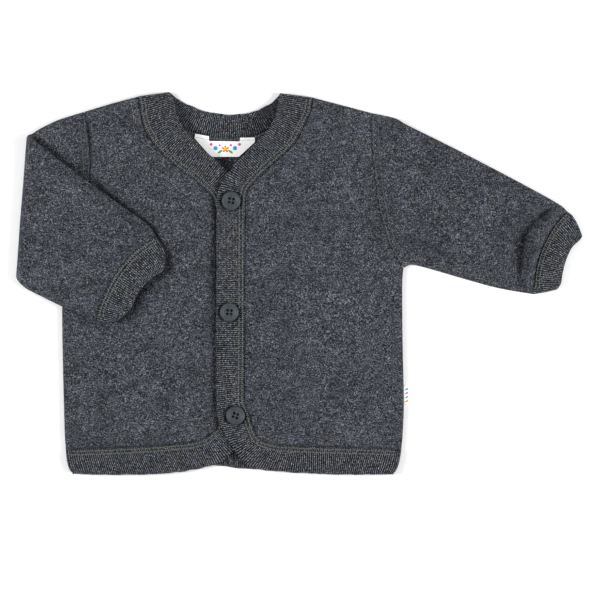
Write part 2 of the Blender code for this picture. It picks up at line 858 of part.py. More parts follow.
def make_labels(ribbon, home):
    flat_outline("neck_label", LABEL_OUTLINE, FLEECE + GAP, LABEL, ribbon, home)
    flat_outline("side_tab", TAB_OUTLINE, FRONT_Z - TAB_THICK / 2, TAB_THICK, ribbon, home)


def main():
    for obj in list(bpy.data.objects):
        bpy.data.objects.remove(obj, do_unlink=True)
    jacket = collection("fleece_jacket")
    cutters = collection("cutters", hidden=True)
    fleece = material("wool_fleece", CHARCOAL, 0.95)
    rib = material("wool_rib_knit", RIB_GREY, 0.9)
    plastic = material("button_plastic", SLATE, 0.45)
    ribbon = material("label_ribbon", WHITE, 0.7)
    make_body(fleece, jacket)
    make_binding(rib, jacket)
    make_left_sleeve(fleece, rib, jacket)
    make_right_sleeve(fleece, rib, jacket)
    make_buttons(plastic, jacket, cutters)
    make_labels(ribbon, jacket)


main()
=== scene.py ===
"""Looks of a baby's wool fleece jacket, buttoned up and laid flat with one sleeve folded over.

Lengths are in millimetres on the laid garment, until `placed` turns them into the frame's metres:
"across" runs from the centre line towards the wearer's left, "up" from the hem to the neck, and
"z" from the surface that the jacket lies on. Each cloth piece is a thin shell on the form of its
solid: panels are grids with an upper and a lower skin, sleeves and cuffs are flattened tubes, and
the rib binding is a lofted strip whose ribs are modelled one by one.
"""

import math
from collections import namedtuple

import bmesh
import bpy
import numpy as np
from mathutils import Matrix, Vector
from mathutils.bvhtree import BVHTree


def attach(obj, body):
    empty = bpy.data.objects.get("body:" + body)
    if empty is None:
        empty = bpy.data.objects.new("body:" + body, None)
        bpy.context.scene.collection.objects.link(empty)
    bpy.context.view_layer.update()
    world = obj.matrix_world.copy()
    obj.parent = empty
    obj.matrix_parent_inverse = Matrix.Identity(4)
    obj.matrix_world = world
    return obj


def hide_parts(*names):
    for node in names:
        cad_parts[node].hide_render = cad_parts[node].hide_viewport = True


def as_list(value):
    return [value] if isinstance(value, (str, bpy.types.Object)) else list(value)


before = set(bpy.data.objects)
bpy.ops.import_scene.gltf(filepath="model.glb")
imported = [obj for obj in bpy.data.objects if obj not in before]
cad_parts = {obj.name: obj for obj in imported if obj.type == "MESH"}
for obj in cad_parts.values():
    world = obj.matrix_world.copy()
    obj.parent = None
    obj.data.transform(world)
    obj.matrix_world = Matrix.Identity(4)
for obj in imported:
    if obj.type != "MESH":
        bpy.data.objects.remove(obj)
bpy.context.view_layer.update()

MM = 0.001

# ---- sizes ---------------------------------------------------------------------------------------

# Cloth.
FLEECE = 1.8  # wall of the wool fleece
RIB = 2.2  # wall of the rib binding, two layers of knit
GAP = 0.3
HALF_CHEST = 127.5
SIDE_HEM = 19.0  # height of the hem seam at the side
CENTRE_ACROSS, CENTRE_UP = 49.4, 143.7  # middle of the laid garment

# How the layers lie on each other.
FRONT_Z = FLEECE + GAP
FRONT_RIB_Z = RIB + GAP
OVERLAP_Z = FRONT_RIB_Z + RIB + GAP
BUTTON_Z = OVERLAP_Z + RIB + GAP
SLEEVE_HEIGHT = 2 * FLEECE + GAP
CUFF_HEIGHT = 2 * RIB + GAP
SLEEVE_REST = 0.1
FOLD_AXIS_Z = SLEEVE_HEIGHT + GAP / 2
CUFF_AXIS_Z = (FRONT_Z + FLEECE + GAP + CUFF_HEIGHT) / 2
FLEECE_MEET_Z = FLEECE + GAP / 2  # where the front's rounded side meets the back's
CLIMB_FROM, CLIMB_TO = 13.0, 30.0  # across: where the left front comes down off the right one
CLIMB_LOW, CLIMB_HIGH = 230.0, 262.0  # up: the same, at the neck
DROOP = 3.2  # how far the folded forearm sinks where the body no longer carries it
DROOP_FROM, DROOP_TO = HALF_CHEST + 3.0, HALF_CHEST + 16.0
DROOP_BELOW, DROOP_WHOLE = 151.0, 134.0

# Rib knit and stitching.
RIB_PITCH = 1.5  # one rib and one furrow, coarser than the real 1.2 or so, or it wouldn't show
RIB_SAMPLES = 5  # columns of points for each rib
RIB_DEEP = 0.34  # from the top of a rib to its furrow
COURSE = 1.15  # height of one row of knit loops, drawn coarser than the real 0.6
NEEDLES = (1.5, 4.1)  # the coverstitch's two needle rows, from the fleece's edge
STITCH_PITCH = 2.7
STITCH_LONG = 2.55
THREAD_RADIUS = 0.54  # of the coverstitch's bulky looped threads, lying side by side

# Buttons, four-hole.
BUTTON_RADIUS = 7.1
BUTTON_FACE = 1.8  # height of its dished face
HOLE_RADIUS = 1.05
HOLE_PITCH = 2.75

At = namedtuple("At", "across up")
Button = namedtuple("Button", "name across up turn")
Trough = namedtuple("Trough", "across up deep wide")

# ---- outlines, as in the solids ------------------------------------------------------------------

LEFT_ARMHOLE = [
    At(103.0, 271.6), At(103.5, 247.5), At(105.8, 223.0), At(108.4, 202.5),
    At(112.1, 186.8), At(118.0, 170.0), At(127.5, 155.2),
]
RIGHT_ARMHOLE = [
    At(-111.5, 272.6), At(-108.3, 250.0), At(-107.3, 226.5), At(-108.7, 205.0),
    At(-112.5, 187.5), At(-118.5, 171.0), At(-127.3, 157.5),
]
LEFT_SIDE = [
    At(127.5, 155.2), At(126.6, 142.0), At(126.9, 100.0), At(127.8, 55.0),
    At(127.0, 32.0), At(125.9, SIDE_HEM),
]
RIGHT_SIDE = [
    At(-127.3, 157.5), At(-128.6, 140.0), At(-128.4, 100.0), At(-127.3, 52.0),
    At(-126.7, 32.0), At(-125.9, SIDE_HEM),
]
LEFT_SHOULDER = [At(103.0, 271.6), At(81.0, 277.4), At(59.0, 283.2)]
RIGHT_SHOULDER = [At(-111.5, 272.6), At(-91.0, 278.8), At(-71.0, 284.1)]

# Fleece edge of each front.
LEFT_NECK = [
    At(59.0, 283.2), At(58.1, 275.0), At(55.1, 267.0), At(49.9, 257.2), At(45.4, 249.0),
    At(37.9, 241.1), At(28.1, 232.5), At(18.0, 222.7), At(11.6, 215.2), At(9.4, 209.6),
    At(8.6, 204.0),
]
LEFT_CENTRE = [At(8.6, 204.0), At(8.3, 150.0), At(8.2, 100.0), At(7.8, 55.0)]
LEFT_CORNER = [
    At(7.8, 55.0), At(11.6, 45.0), At(14.4, 36.0), At(18.4, 28.0), At(24.6, 24.4), At(33.4, 22.2),
]
LEFT_HEM = [At(33.4, 22.2), At(60.0, 21.2), At(95.0, 20.1), At(125.9, SIDE_HEM)]
RIGHT_NECK = [
    At(-71.0, 284.1), At(-69.4, 272.2), At(-66.8, 261.0), At(-60.4, 249.4), At(-50.6, 238.5),
    At(-40.9, 229.9), At(-31.1, 223.1), At(-22.9, 216.0), At(-15.4, 208.5), At(-12.6, 200.0),
]
RIGHT_CENTRE = [At(-12.6, 200.0), At(-11.6, 150.0), At(-10.4, 100.0), At(-9.4, 52.0)]
RIGHT_CORNER = [
    At(-9.4, 52.0), At(-10.0, 42.0), At(-12.1, 34.7), At(-16.9, 30.8), At(-22.1, 27.0),
    At(-32.6, 24.2),
]
RIGHT_HEM = [At(-32.6, 24.2), At(-60.0, 21.6), At(-96.0, 19.9), At(-125.9, SIDE_HEM)]

# Finished edge of the binding, row for row with the fleece edges.
LEFT_NECK_EDGE = [
    At(34.9, 286.4), At(34.0, 279.0), At(32.9, 273.4), At(30.6, 267.0), At(27.0, 260.4),
    At(20.8, 252.6), At(13.2, 245.0), At(3.8, 235.6), At(-7.0, 222.8), At(-11.4, 213.6),
    At(-12.8, 204.0),
]
LEFT_CENTRE_EDGE = [At(-12.8, 204.0), At(-12.8, 150.0), At(-12.9, 100.0), At(-12.9, 52.0)]
LEFT_CORNER_EDGE = [
    At(-12.9, 52.0), At(-11.2, 40.6), At(-7.6, 32.8), At(1.0, 18.0), At(9.6, 7.9), At(24.0, 3.2),
]
LEFT_HEM_EDGE = [At(24.0, 3.2), At(60.0, 0.8), At(90.0, 0.2), At(120.0, 0.5)]
RIGHT_NECK_EDGE = [
    At(-48.3, 287.3), At(-44.6, 279.6), At(-42.4, 270.8), At(-39.2, 262.4), At(-33.8, 256.4),
    At(-26.4, 248.8), At(-18.6, 241.0), At(-9.4, 232.6), At(3.0, 221.0), At(8.4, 202.0),
]
RIGHT_CENTRE_EDGE = [At(8.4, 202.0), At(9.4, 150.0), At(10.6, 100.0), At(11.2, 50.0)]
RIGHT_CORNER_EDGE = [
    At(11.2, 50.0), At(9.6, 36.0), At(5.4, 24.4), At(-2.6, 15.0), At(-12.6, 8.4), At(-24.6, 5.2),
]
RIGHT_HEM_EDGE = [At(-24.6, 5.2), At(-50.0, 1.0), At(-90.0, 0.1), At(-120.4, 0.8)]

BACK_NECK = [
    At(-71.0, 284.1), At(-57.5, 272.2), At(-41.6, 261.4), At(-22.1, 254.9), At(-2.6, 252.9),
    At(16.9, 255.2), At(35.6, 264.4), At(49.5, 274.6), At(59.0, 283.2),
]
BACK_NECK_EDGE = [
    At(-48.3, 287.3), At(-40.5, 281.6), At(-30.0, 276.2), At(-17.6, 272.2), At(-2.6, 270.4),
    At(12.4, 272.2), At(22.0, 275.8), At(30.0, 280.8), At(34.9, 286.4),
]
BACK_HEM = [
    At(-125.9, SIDE_HEM), At(-60.0, 21.0), At(0.0, 22.0), At(60.0, 21.0), At(125.9, SIDE_HEM),
]
BACK_HEM_EDGE = [
    At(-120.4, 1.2), At(-70.0, 1.0), At(-30.0, 3.6), At(-16.9, 7.1), At(3.8, 5.0),
    At(30.0, 3.6), At(70.0, 1.2), At(120.0, 0.9),
]
LEFT_HEM_END = [At(125.9, SIDE_HEM), At(124.5, 10.5), At(122.6, 4.6), At(120.0, 0.5)]
RIGHT_HEM_END = [At(-125.9, SIDE_HEM), At(-124.9, 10.5), At(-123.2, 4.6), At(-120.4, 0.8)]

LEFT_SLEEVE_UPPER = [
    At(103.4, 271.5), At(121.3, 267.6), At(131.3, 262.1), At(169.9, 242.9), At(219.0, 217.2),
    At(243.9, 203.3), At(250.9, 197.3),
]
LEFT_SLEEVE_UNDER = [
    At(127.8, 155.4), At(130.4, 156.8), At(134.5, 157.7), At(146.0, 155.0), At(169.9, 148.1),
    At(198.4, 140.3), At(224.9, 135.6),
]
LEFT_CUFF_SEAM = [
    At(250.9, 197.3), At(245.6, 193.4), At(239.5, 185.7), At(235.1, 178.5), At(230.2, 168.1),
    At(226.4, 154.5), At(225.2, 142.2), At(224.9, 135.6),
]
LEFT_CUFF_OPENING = [
    At(261.8, 179.2), At(259.3, 175.8), At(254.9, 171.9), At(252.2, 167.6), At(248.9, 159.6),
    At(246.7, 150.5), At(245.6, 143.6), At(242.8, 139.2),
]
LEFT_CUFF_UPPER = [At(250.9, 197.3), At(254.4, 194.5), At(258.6, 187.5), At(261.8, 179.2)]
LEFT_CUFF_UNDER = [At(224.9, 135.6), At(234.6, 137.2), At(242.8, 139.2)]

FOLD_TOP = At(-155.0, 253.4)
FOLD_MIDDLE = At(-158.4, 210.0)
FOLD_LOW = At(-163.6, 150.5)
FOLD_LOW_RETURN = At(-162.8, 142.6)
UPPER_ARM_TOP = [At(-111.9, 272.5), At(-131.6, 266.3), At(-144.5, 260.2), At(-154.4, 254.2)]
UPPER_ARM_UNDER = [At(-127.7, 157.7), At(-135.0, 155.4), At(-150.0, 153.0), At(-162.0, 151.0)]
FOREARM_UPPER = [
    At(-151.0, 252.9), At(-144.7, 247.3), At(-127.4, 233.6), At(-110.3, 221.0),
    At(-87.4, 204.3), At(-64.9, 188.3), At(-57.8, 178.9),
]
FOREARM_UNDER = [
    At(-154.0, 139.0), At(-141.9, 132.9), At(-129.3, 126.8), At(-118.7, 121.9),
    At(-109.3, 117.4), At(-102.2, 115.9),
]
RIGHT_CUFF_SEAM = [
    At(-57.8, 178.9), At(-64.1, 174.8), At(-74.9, 166.7), At(-85.0, 155.3), At(-91.0, 146.3),
    At(-95.7, 136.8), At(-100.4, 125.5), At(-102.2, 115.9),
]
RIGHT_CUFF_OPENING = [
    At(-50.8, 159.8), At(-52.4, 153.4), At(-59.2, 148.7), At(-65.6, 143.3), At(-72.0, 135.2),
    At(-75.6, 126.6), At(-81.0, 120.2), At(-87.1, 115.3),
]
RIGHT_CUFF_UPPER = [At(-57.8, 178.9), At(-54.2, 172.5), At(-51.2, 167.0), At(-50.8, 159.8)]
RIGHT_CUFF_UNDER = [At(-102.2, 115.9), At(-95.6, 114.4), At(-87.1, 115.3)]

BUTTONS = [
    Button("button_top", -1.6, 205.6, 10),
    Button("button_middle", -3.0, 122.1, 5),
    Button("button_bottom", 1.6, 44.7, 18),
]

# ---- creases, each a chain of troughs with the cloth pushed up a little beside it ------------------

LEFT_SLEEVE_CREASES = [
    [  # where the full sleeve is gathered in above its cuff
        Trough(243.0, 204.6, 0.8, 1.2), Trough(237.4, 200.2, 5.0, 1.7),
        Trough(230.6, 194.0, 7.0, 2.2), Trough(223.1, 187.9, 8.0, 2.8),
        Trough(218.2, 179.2, 8.8, 3.3), Trough(215.7, 171.8, 8.8, 3.4),
        Trough(214.5, 164.4, 8.6, 3.4), Trough(213.8, 155.7, 7.8, 3.4),
        Trough(214.5, 147.0, 4.8, 3.0), Trough(216.0, 140.0, 1.0, 2.4),
    ],
    [
        Trough(223.4, 195.0, 0.0, 2.4), Trough(217.2, 188.4, 4.0, 2.8),
        Trough(213.2, 179.8, 5.0, 3.0), Trough(211.0, 171.3, 4.4, 3.0),
        Trough(209.8, 163.0, 2.8, 3.0), Trough(209.0, 155.0, 0.0, 2.4),
    ],
    [  # round the armpit
        Trough(129.0, 168.6, 0.6, 1.6), Trough(135.7, 172.4, 2.4, 1.7),
        Trough(144.6, 173.4, 3.0, 1.7), Trough(152.3, 168.6, 3.0, 1.7),
        Trough(158.2, 162.9, 2.4, 1.6), Trough(166.0, 158.2, 0.0, 1.6),
    ],
    [
        Trough(122.0, 190.0, 0.0, 4.0), Trough(127.0, 179.0, 1.4, 4.0),
        Trough(129.5, 168.0, 1.6, 3.6), Trough(130.0, 158.5, 0.8, 3.0),
    ],
    [
        Trough(150.0, 232.0, 0.0, 6.0), Trough(160.0, 217.0, 0.9, 7.0),
        Trough(165.0, 200.0, 0.8, 7.0), Trough(163.0, 186.0, 0.0, 6.0),
    ],
    [
        Trough(196.0, 216.0, 0.0, 6.0), Trough(193.0, 198.0, 0.9, 8.0),
        Trough(188.0, 178.0, 0.8, 8.0), Trough(186.0, 160.0, 0.0, 6.0),
    ],
]
LEFT_FRONT_CREASES = [
    [  # below the armpit
        Trough(122.0, 174.0, 0.6, 3.4), Trough(117.0, 160.0, 2.4, 4.2),
        Trough(113.6, 143.0, 2.6, 4.6), Trough(115.4, 127.0, 1.6, 4.6),
        Trough(121.0, 110.0, 0.0, 5.0),
    ],
    [
        Trough(16.0, 216.0, 0.0, 2.0), Trough(22.0, 214.6, 0.6, 2.2),
        Trough(31.0, 212.0, 0.5, 2.2), Trough(40.0, 208.0, 0.0, 2.0),
    ],
    [
        Trough(30.0, 176.0, 0.0, 7.0), Trough(52.0, 160.0, 0.7, 8.0),
        Trough(78.0, 152.0, 0.6, 8.0), Trough(104.0, 156.0, 0.0, 7.0),
    ],
    [
        Trough(40.0, 92.0, 0.0, 8.0), Trough(62.0, 78.0, 0.6, 9.0),
        Trough(88.0, 70.0, 0.6, 9.0), Trough(112.0, 72.0, 0.0, 8.0),
    ],
]
RIGHT_FRONT_CREASES = [
    [
        Trough(-112.0, 88.0, 0.0, 7.0), Trough(-88.0, 76.0, 0.6, 8.0),
        Trough(-60.0, 72.0, 0.6, 8.0), Trough(-36.0, 82.0, 0.0, 7.0),
    ],
    [
        Trough(-122.0, 96.0, 0.0, 5.0), Trough(-118.0, 76.0, 0.8, 6.0),
        Trough(-119.0, 52.0, 0.7, 6.0), Trough(-122.0, 34.0, 0.0, 5.0),
    ],
]
UPPER_ARM_CREASES = [
    [  # dragged up from the folded forearm
        Trough(-121.0, 246.0, 0.0, 3.0), Trough(-117.0, 238.0, 1.4, 3.6),
        Trough(-111.0, 229.0, 2.0, 4.0), Trough(-105.0, 219.0, 1.6, 4.0),
    ],
]
FOREARM_CREASES = [
    [
        Trough(-152.0, 236.0, 0.0, 5.0), Trough(-142.0, 214.0, 0.9, 6.5),
        Trough(-138.0, 188.0, 0.8, 6.5), Trough(-140.0, 160.0, 0.0, 5.0),
    ],
    [  # where the sleeve is gathered in above its cuff
        Trough(-72.0, 184.0, 0.0, 4.0), Trough(-82.0, 173.0, 1.2, 4.6),
        Trough(-94.0, 158.0, 1.4, 5.0), Trough(-104.0, 140.0, 1.1, 4.6),
        Trough(-110.0, 124.0, 0.0, 4.0),
    ],
]

# ---- curves and patches in the plane ---------------------------------------------------------------

CURVE_STEPS = 12


def curve(*tables):
    """A smooth chain of points through each table's rows, one table after another."""
    chain = []
    for table in tables:
        knots = np.array(table, float)
        ends = np.vstack([2 * knots[0] - knots[1], knots, 2 * knots[-1] - knots[-2]])
        t = np.linspace(0, 1, CURVE_STEPS, endpoint=False)[:, None]
        for before, start, stop, after in zip(ends, ends[1:], ends[2:], ends[3:]):
            bend = (2 * before - 5 * start + 4 * stop - after) * t**2
            twist = (3 * start - before - 3 * stop + after) * t**3
            chain.append(start + ((stop - before) * t + bend + twist) / 2)
    return np.vstack([*chain, np.array(tables[-1][-1:], float)])


def run_of(chain):
    """How far along the chain each of its points lies, in the plane."""
    steps = np.hypot(*np.diff(chain[:, :2], axis=0).T)
    return np.concatenate([[0.0], np.cumsum(steps)])


def along(chain, places):
    """Points at places, in mm from the chain's start."""
    run = run_of(chain)
    return np.stack([np.interp(places, run, axis) for axis in chain.T], axis=-1)


def at_shares(chain, shares):
    return along(chain, np.asarray(shares) * run_of(chain)[-1])


def patch(first, last, start, end, u, v):
    """Points that fill four chains: first and last run along the rows, start and end beside them."""
    u, v = np.broadcast_arrays(u, v)
    rows = [at_shares(first, v), at_shares(last, v)]
    sides = [at_shares(start, u), at_shares(end, u)]
    u, v = u[..., None], v[..., None]
    near = (1 - v) * first[0] + v * first[-1]
    far = (1 - v) * last[0] + v * last[-1]
    return (1 - u) * (rows[0] - near) + u * (rows[1] - far) + (1 - v) * sides[0] + v * sides[1]


def places(long, step, fine=(0.0, 0.2, 0.5, 0.9, 1.4, 2.0)):
    """Shares of a length: a step apart, and finer at both ends, where an edge curves over."""
    fine = np.array(fine)
    count = round((long - 2 * fine[-1]) / step)
    middle = np.linspace(fine[-1], long - fine[-1], count + 1)
    return np.concatenate([fine[:-1], middle, long - fine[-2::-1]]) / long


def nearness(points, chain):
    """How far each point is from a chain in the plane, and how far along it that is."""
    flat = points[..., :2].reshape(-1, 2)
    best, place = np.full(len(flat), np.inf), np.zeros(len(flat))
    for start, stop, run in zip(chain[:-1, :2], chain[1:, :2], run_of(chain)):
        step = stop - start
        long = max(math.hypot(*step), 1e-9)
        share = np.clip((flat - start) @ step / long**2, 0, 1)
        gap = np.hypot(*(flat - start - share[:, None] * step).T)
        closer = gap < best
        best[closer] = gap[closer]
        place[closer] = (run + share * long)[closer]
    return best.reshape(points.shape[:-1]), place.reshape(points.shape[:-1])


def nearest(points, *chains):
    return np.min([nearness(points, chain)[0] for chain in chains], axis=0)


def beside(chain, distance):
    """The chain moved square to itself, to its left as it runs."""
    ahead = np.gradient(chain, axis=0)
    left = np.stack([-ahead[:, 1], ahead[:, 0]], axis=1)
    return chain + left / np.hypot(*left.T)[:, None] * distance


# ---- heights ---------------------------------------------------------------------------------------


def smooth_step(value, low, high):
    share = np.clip((value - low) / (high - low), 0.0, 1.0)
    return share * share * (3 - 2 * share)


def rounded(gap, radius, least=0.05):
    """1 away from an edge, and down to nearly 0 at it, as a quarter circle of that radius."""
    return np.maximum(np.sqrt(1 - (1 - np.clip(gap / radius, 0, 1)) ** 2), least)


def softly_over(value, least):
    """The value, but turned off smoothly before it falls below the least."""
    return least + 0.35 * np.logaddexp(0.0, (value - least) / 0.35)


def dip(gap, wide):
    return np.exp(-((gap / wide) ** 2))


def unevenness(x, y, cell, seed):
    """Smooth random heights from -1 to 1, with one bump or hollow in each cell."""
    lattice = np.random.default_rng(seed).uniform(-1, 1, (128, 128))
    column, row = np.floor(x / cell).astype(int), np.floor(y / cell).astype(int)
    s, t = x / cell - column, y / cell - row
    s, t = s * s * (3 - 2 * s), t * t * (3 - 2 * t)
    low = lattice[column % 128, row % 128] * (1 - s) + lattice[(column + 1) % 128, row % 128] * s
    column, row = column % 128, (row + 1) % 128
    high = lattice[column, row] * (1 - s) + lattice[(column + 1) % 128, row] * s
    return low * (1 - t) + high * t


def felt(points, seed):
    """The uneven face of felted fleece: small tufts, and the softer waves of cloth laid by hand."""
    x, y = points[..., 0], points[..., 1]
    tufts = 0.10 * unevenness(x, y, 2.7, seed) + 0.13 * unevenness(x, y, 6.1, seed + 1)
    return tufts + 0.20 * unevenness(x, y, 27.0, seed + 2)


def creased(points, creases):
    """How deep the cloth is pressed in at each point. Beside a trough it stands a little proud."""
    deep = np.zeros(points.shape[:-1])
    for troughs in creases:
        chain = curve(troughs)
        gap, place = nearness(points, chain)
        here, wide = (np.interp(place, run_of(chain), chain[:, column]) for column in (2, 3))
        deep += here * (
            np.exp((0.7 - np.hypot(gap, 0.7)) / wide) - 0.38 * dip(gap - 3.0 * wide, 1.7 * wide)
        )
    return deep


def within(points, outline):
    """Whether each point lies inside a closed outline."""
    x, y = points[..., 0], points[..., 1]
    inside = np.zeros(x.shape, bool)
    for (x0, y0), (x1, y1) in zip(outline, np.roll(outline, -1, axis=0)):
        if y0 != y1:
            inside ^= ((y0 > y) != (y1 > y)) & (x < x0 + (x1 - x0) * (y - y0) / (y1 - y0))
    return inside


def beside_folded_arm(points):
    """How far each point is from the outline of the sleeve that lies folded over, and 0 under it."""
    outline = np.vstack([
        curve(FOREARM_UPPER), curve(RIGHT_CUFF_UPPER), curve(RIGHT_CUFF_OPENING),
        curve(RIGHT_CUFF_UNDER[::-1]), curve(FOREARM_UNDER[::-1]),
        curve([FOLD_LOW, FOLD_MIDDLE, FOLD_TOP]),
    ])
    return np.where(within(points, outline), 0.0, nearness(points, outline)[0])


PILLOW = 4.6  # how high the cloth stands up beside the folded sleeve
PILLOW_FALLS_FROM, PILLOW_FALLS_TO = 10.0, 36.0  # how far from the sleeve it lies down again


def pillowed(points, wide):
    """How the cloth stands up beside the folded sleeve, steeply at first, least beside its cuff."""
    gap = beside_folded_arm(points)
    falling = 1 - smooth_step(gap, PILLOW_FALLS_FROM, PILLOW_FALLS_TO)
    beside_cuff = dip(nearness(points, curve(RIGHT_CUFF_OPENING))[0], 16.0)
    return PILLOW * (1 - np.exp(-gap / wide)) * falling * (1 - 0.75 * beside_cuff)


def toward_neck(points):
    """0 beside the lower half of the front opening, 1 from just above its middle button up."""
    return smooth_step(points[..., 1], 80.0, 160.0)


def above_hem(points):
    """0 on the binding along the hem, 1 above its corner."""
    return smooth_step(points[..., 1], 20.0, 34.0)


def overlap(points):
    """1 where the left front lies on the right front's binding, 0 well away from it."""
    beside_it = 1 - smooth_step(points[..., 0], CLIMB_FROM, CLIMB_TO)
    below_neck = 1 - smooth_step(points[..., 1], CLIMB_LOW, CLIMB_HIGH)
    return beside_it * below_neck


def lying(clear, side):
    """Height function of a front piece's underside: the left one climbs onto the right one."""
    if side == "right":
        return lambda points: np.full(points.shape[:-1], clear)
    return lambda points: clear + (OVERLAP_Z - clear) * overlap(points)


def forearm_droop(points):
    beyond_body = smooth_step(-points[..., 0], DROOP_FROM, DROOP_TO)
    below_arm = smooth_step(-points[..., 1], -DROOP_BELOW, -DROOP_WHOLE)
    return DROOP * beyond_body * below_arm


# ---- from points to meshes -------------------------------------------------------------------------


def placed(points):
    """Garment millimetres to metres in the frame."""
    return (np.asarray(points, float) - (CENTRE_ACROSS, CENTRE_UP, 0.0)) * MM


def with_height(flat, height):
    return np.concatenate([flat, np.asarray(height)[..., None]], axis=-1)


def piece_from(name, points, faces, finish, knit=None):
    """A mesh object, faces outwards. knit gives each point its place on the rib knit, in mm."""
    mesh = bpy.data.meshes.new(name)
    mesh.from_pydata(placed(points).tolist(), [], faces)
    if knit is not None:
        layer = mesh.uv_layers.new(name="knit")
        corners = np.zeros(len(mesh.loops), np.int32)
        mesh.loops.foreach_get("vertex_index", corners)
        layer.uv.foreach_set("vector", np.asarray(knit, np.float32)[corners].ravel())
    bm = bmesh.new()
    bm.from_mesh(mesh)
    bmesh.ops.recalc_face_normals(bm, faces=bm.faces)
    bm.to_mesh(mesh)
    bm.free()
    mesh.shade_smooth()
    mesh.materials.append(finish)
    made = bpy.data.objects.new(name, mesh)
    bpy.context.scene.collection.objects.link(made)
    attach(made, "root")
    return made


def grid_faces(index):
    corners = (index[:-1, :-1], index[:-1, 1:], index[1:, 1:], index[1:, :-1])
    return np.stack([corner.ravel() for corner in corners], axis=1).tolist()


def panel(name, upper, lower, finish):
    """A closed thin body between two grids of points."""
    rows, cols = upper.shape[:2]
    index = np.arange(rows * cols).reshape(rows, cols)
    rim = np.concatenate([index[0], index[1:, -1], index[-1, -2::-1], index[-2:0:-1, 0]])
    following = np.roll(rim, -1)
    under = rows * cols
    sides = np.stack([rim, following, following + under, rim + under], axis=1).tolist()
    points = np.concatenate([upper.reshape(-1, 3), lower.reshape(-1, 3)])
    return piece_from(name, points, grid_faces(index) + grid_faces(index + under) + sides, finish)


def loft(name, rings, finish, knit=None, hollow=False):
    """A body through closed rings. A hollow one's last ring joins its first; others are capped."""
    count, size = rings.shape[:2]
    index = np.arange(count * size).reshape(count, size)
    index = np.concatenate([index, index[:, :1]], axis=1)
    if hollow:
        index = np.concatenate([index, index[:1]])
    faces = grid_faces(index)
    if not hollow:
        faces += [index[0, :-1].tolist(), index[-1, -2::-1].tolist()]
    knit = None if knit is None else knit.reshape(-1, 2)
    return piece_from(name, rings.reshape(-1, 3), faces, finish, knit)


# ---- fleece panels ---------------------------------------------------------------------------------

PANEL_STEP = 1.5
BACK_STEP = 1.3 * PANEL_STEP  # little of the back shows
SIDE_ROUND = 2.4  # radius of the cloth's turn at a side or shoulder
SEAM_DEEP, SEAM_WIDE = 1.5, 1.0  # the furrow along a seam
ARMHOLE_DEEP, CUFF_DEEP = 0.55, 0.7  # the same, where the seam is pressed flatter

Front = namedtuple("Front", "side shoulder neck centre corner hem armhole flank creases fullness")
FRONTS = [
    Front("right", RIGHT_SHOULDER, RIGHT_NECK, RIGHT_CENTRE, RIGHT_CORNER, RIGHT_HEM,
          RIGHT_ARMHOLE, RIGHT_SIDE, RIGHT_FRONT_CREASES, 1.5),
    Front("left", LEFT_SHOULDER, LEFT_NECK, LEFT_CENTRE, LEFT_CORNER, LEFT_HEM,
          LEFT_ARMHOLE, LEFT_SIDE, LEFT_FRONT_CREASES, 1.8),
]


def beside_arm_and_band(flat, full, from_seam, from_fold):
    """The right front's fullness, pressed in by the folded sleeve and rolled down by the band."""
    pressed = np.exp(-beside_folded_arm(flat) / 5.0)
    full = full * (1 - pressed) - 0.9 * pressed * smooth_step(from_seam, 0.0, 3.0)
    full += pillowed(flat, 5.0) * smooth_step(np.minimum(from_seam, from_fold), 0.0, 12.0)
    higher = toward_neck(flat)
    full -= (0.3 + 0.5 * higher) * np.exp(-nearness(flat, curve(RIGHT_CENTRE))[0] / 1.6)
    band_edge = curve(LEFT_CENTRE_EDGE, LEFT_CORNER_EDGE)
    groove = (1.3 - 0.4 * higher) * dip(nearness(flat, band_edge)[0], 1.2 + 0.3 * higher)
    return full - groove * smooth_step(from_seam, 0.0, 1.5)


def furrowed(face, flat, armhole, inner, hem):
    """A front's face drawn in along its seams, most at the hem, where it swells beside the furrow."""
    from_binding = nearest(flat, inner, hem)
    at_hem = dip(nearness(flat, hem)[0], 8.0)
    face = face - (1.1 + 0.6 * at_hem) * dip(from_binding, 0.95 - 0.15 * at_hem)
    face += 0.5 * at_hem * dip(from_binding - 2.4, 1.2)
    return face - 0.7 * ARMHOLE_DEEP * dip(nearness(flat, armhole)[0], SEAM_WIDE)


def make_front(front, fleece):
    shoulder, hem = curve(front.shoulder), curve(front.hem)
    armhole, flank = curve(front.armhole), curve(front.flank)
    inner = curve(front.neck, front.centre, front.corner)
    outer = np.vstack([armhole, flank[1:]])
    u = places(run_of(outer)[-1], PANEL_STEP)[:, None]
    v = places(HALF_CHEST, PANEL_STEP)[None, :]
    flat = patch(shoulder, hem[::-1], outer, inner, u, v)

    from_seam = nearest(flat, armhole, inner, hem)
    from_fold = nearest(flat, shoulder, flank)
    inside = smooth_step(np.minimum(from_seam, from_fold), 3.0, 30.0)
    full = front.fullness * inside
    low = lying(FRONT_Z, front.side)(flat)
    loose = smooth_step(np.minimum(from_seam, from_fold), 0.0, 12.0)
    if front.side == "right":
        full = beside_arm_and_band(flat, full, from_seam, from_fold)
    face = low + FLEECE + full + felt(flat, 11 if front.side == "left" else 31)
    face -= creased(flat, front.creases) * loose
    turn = rounded(from_fold, SIDE_ROUND)
    back = np.maximum(face - FLEECE, low - 0.1)
    upper = FLEECE_MEET_Z + (furrowed(face, flat, armhole, inner, hem) - FLEECE_MEET_Z) * turn
    lower = FLEECE_MEET_Z - 0.05 + (back - FLEECE_MEET_Z) * turn
    made = panel(f"{front.side}_front_fleece", with_height(flat, upper), with_height(flat, lower),
                 fleece)
    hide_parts(f"front_{front.side}")
    return made


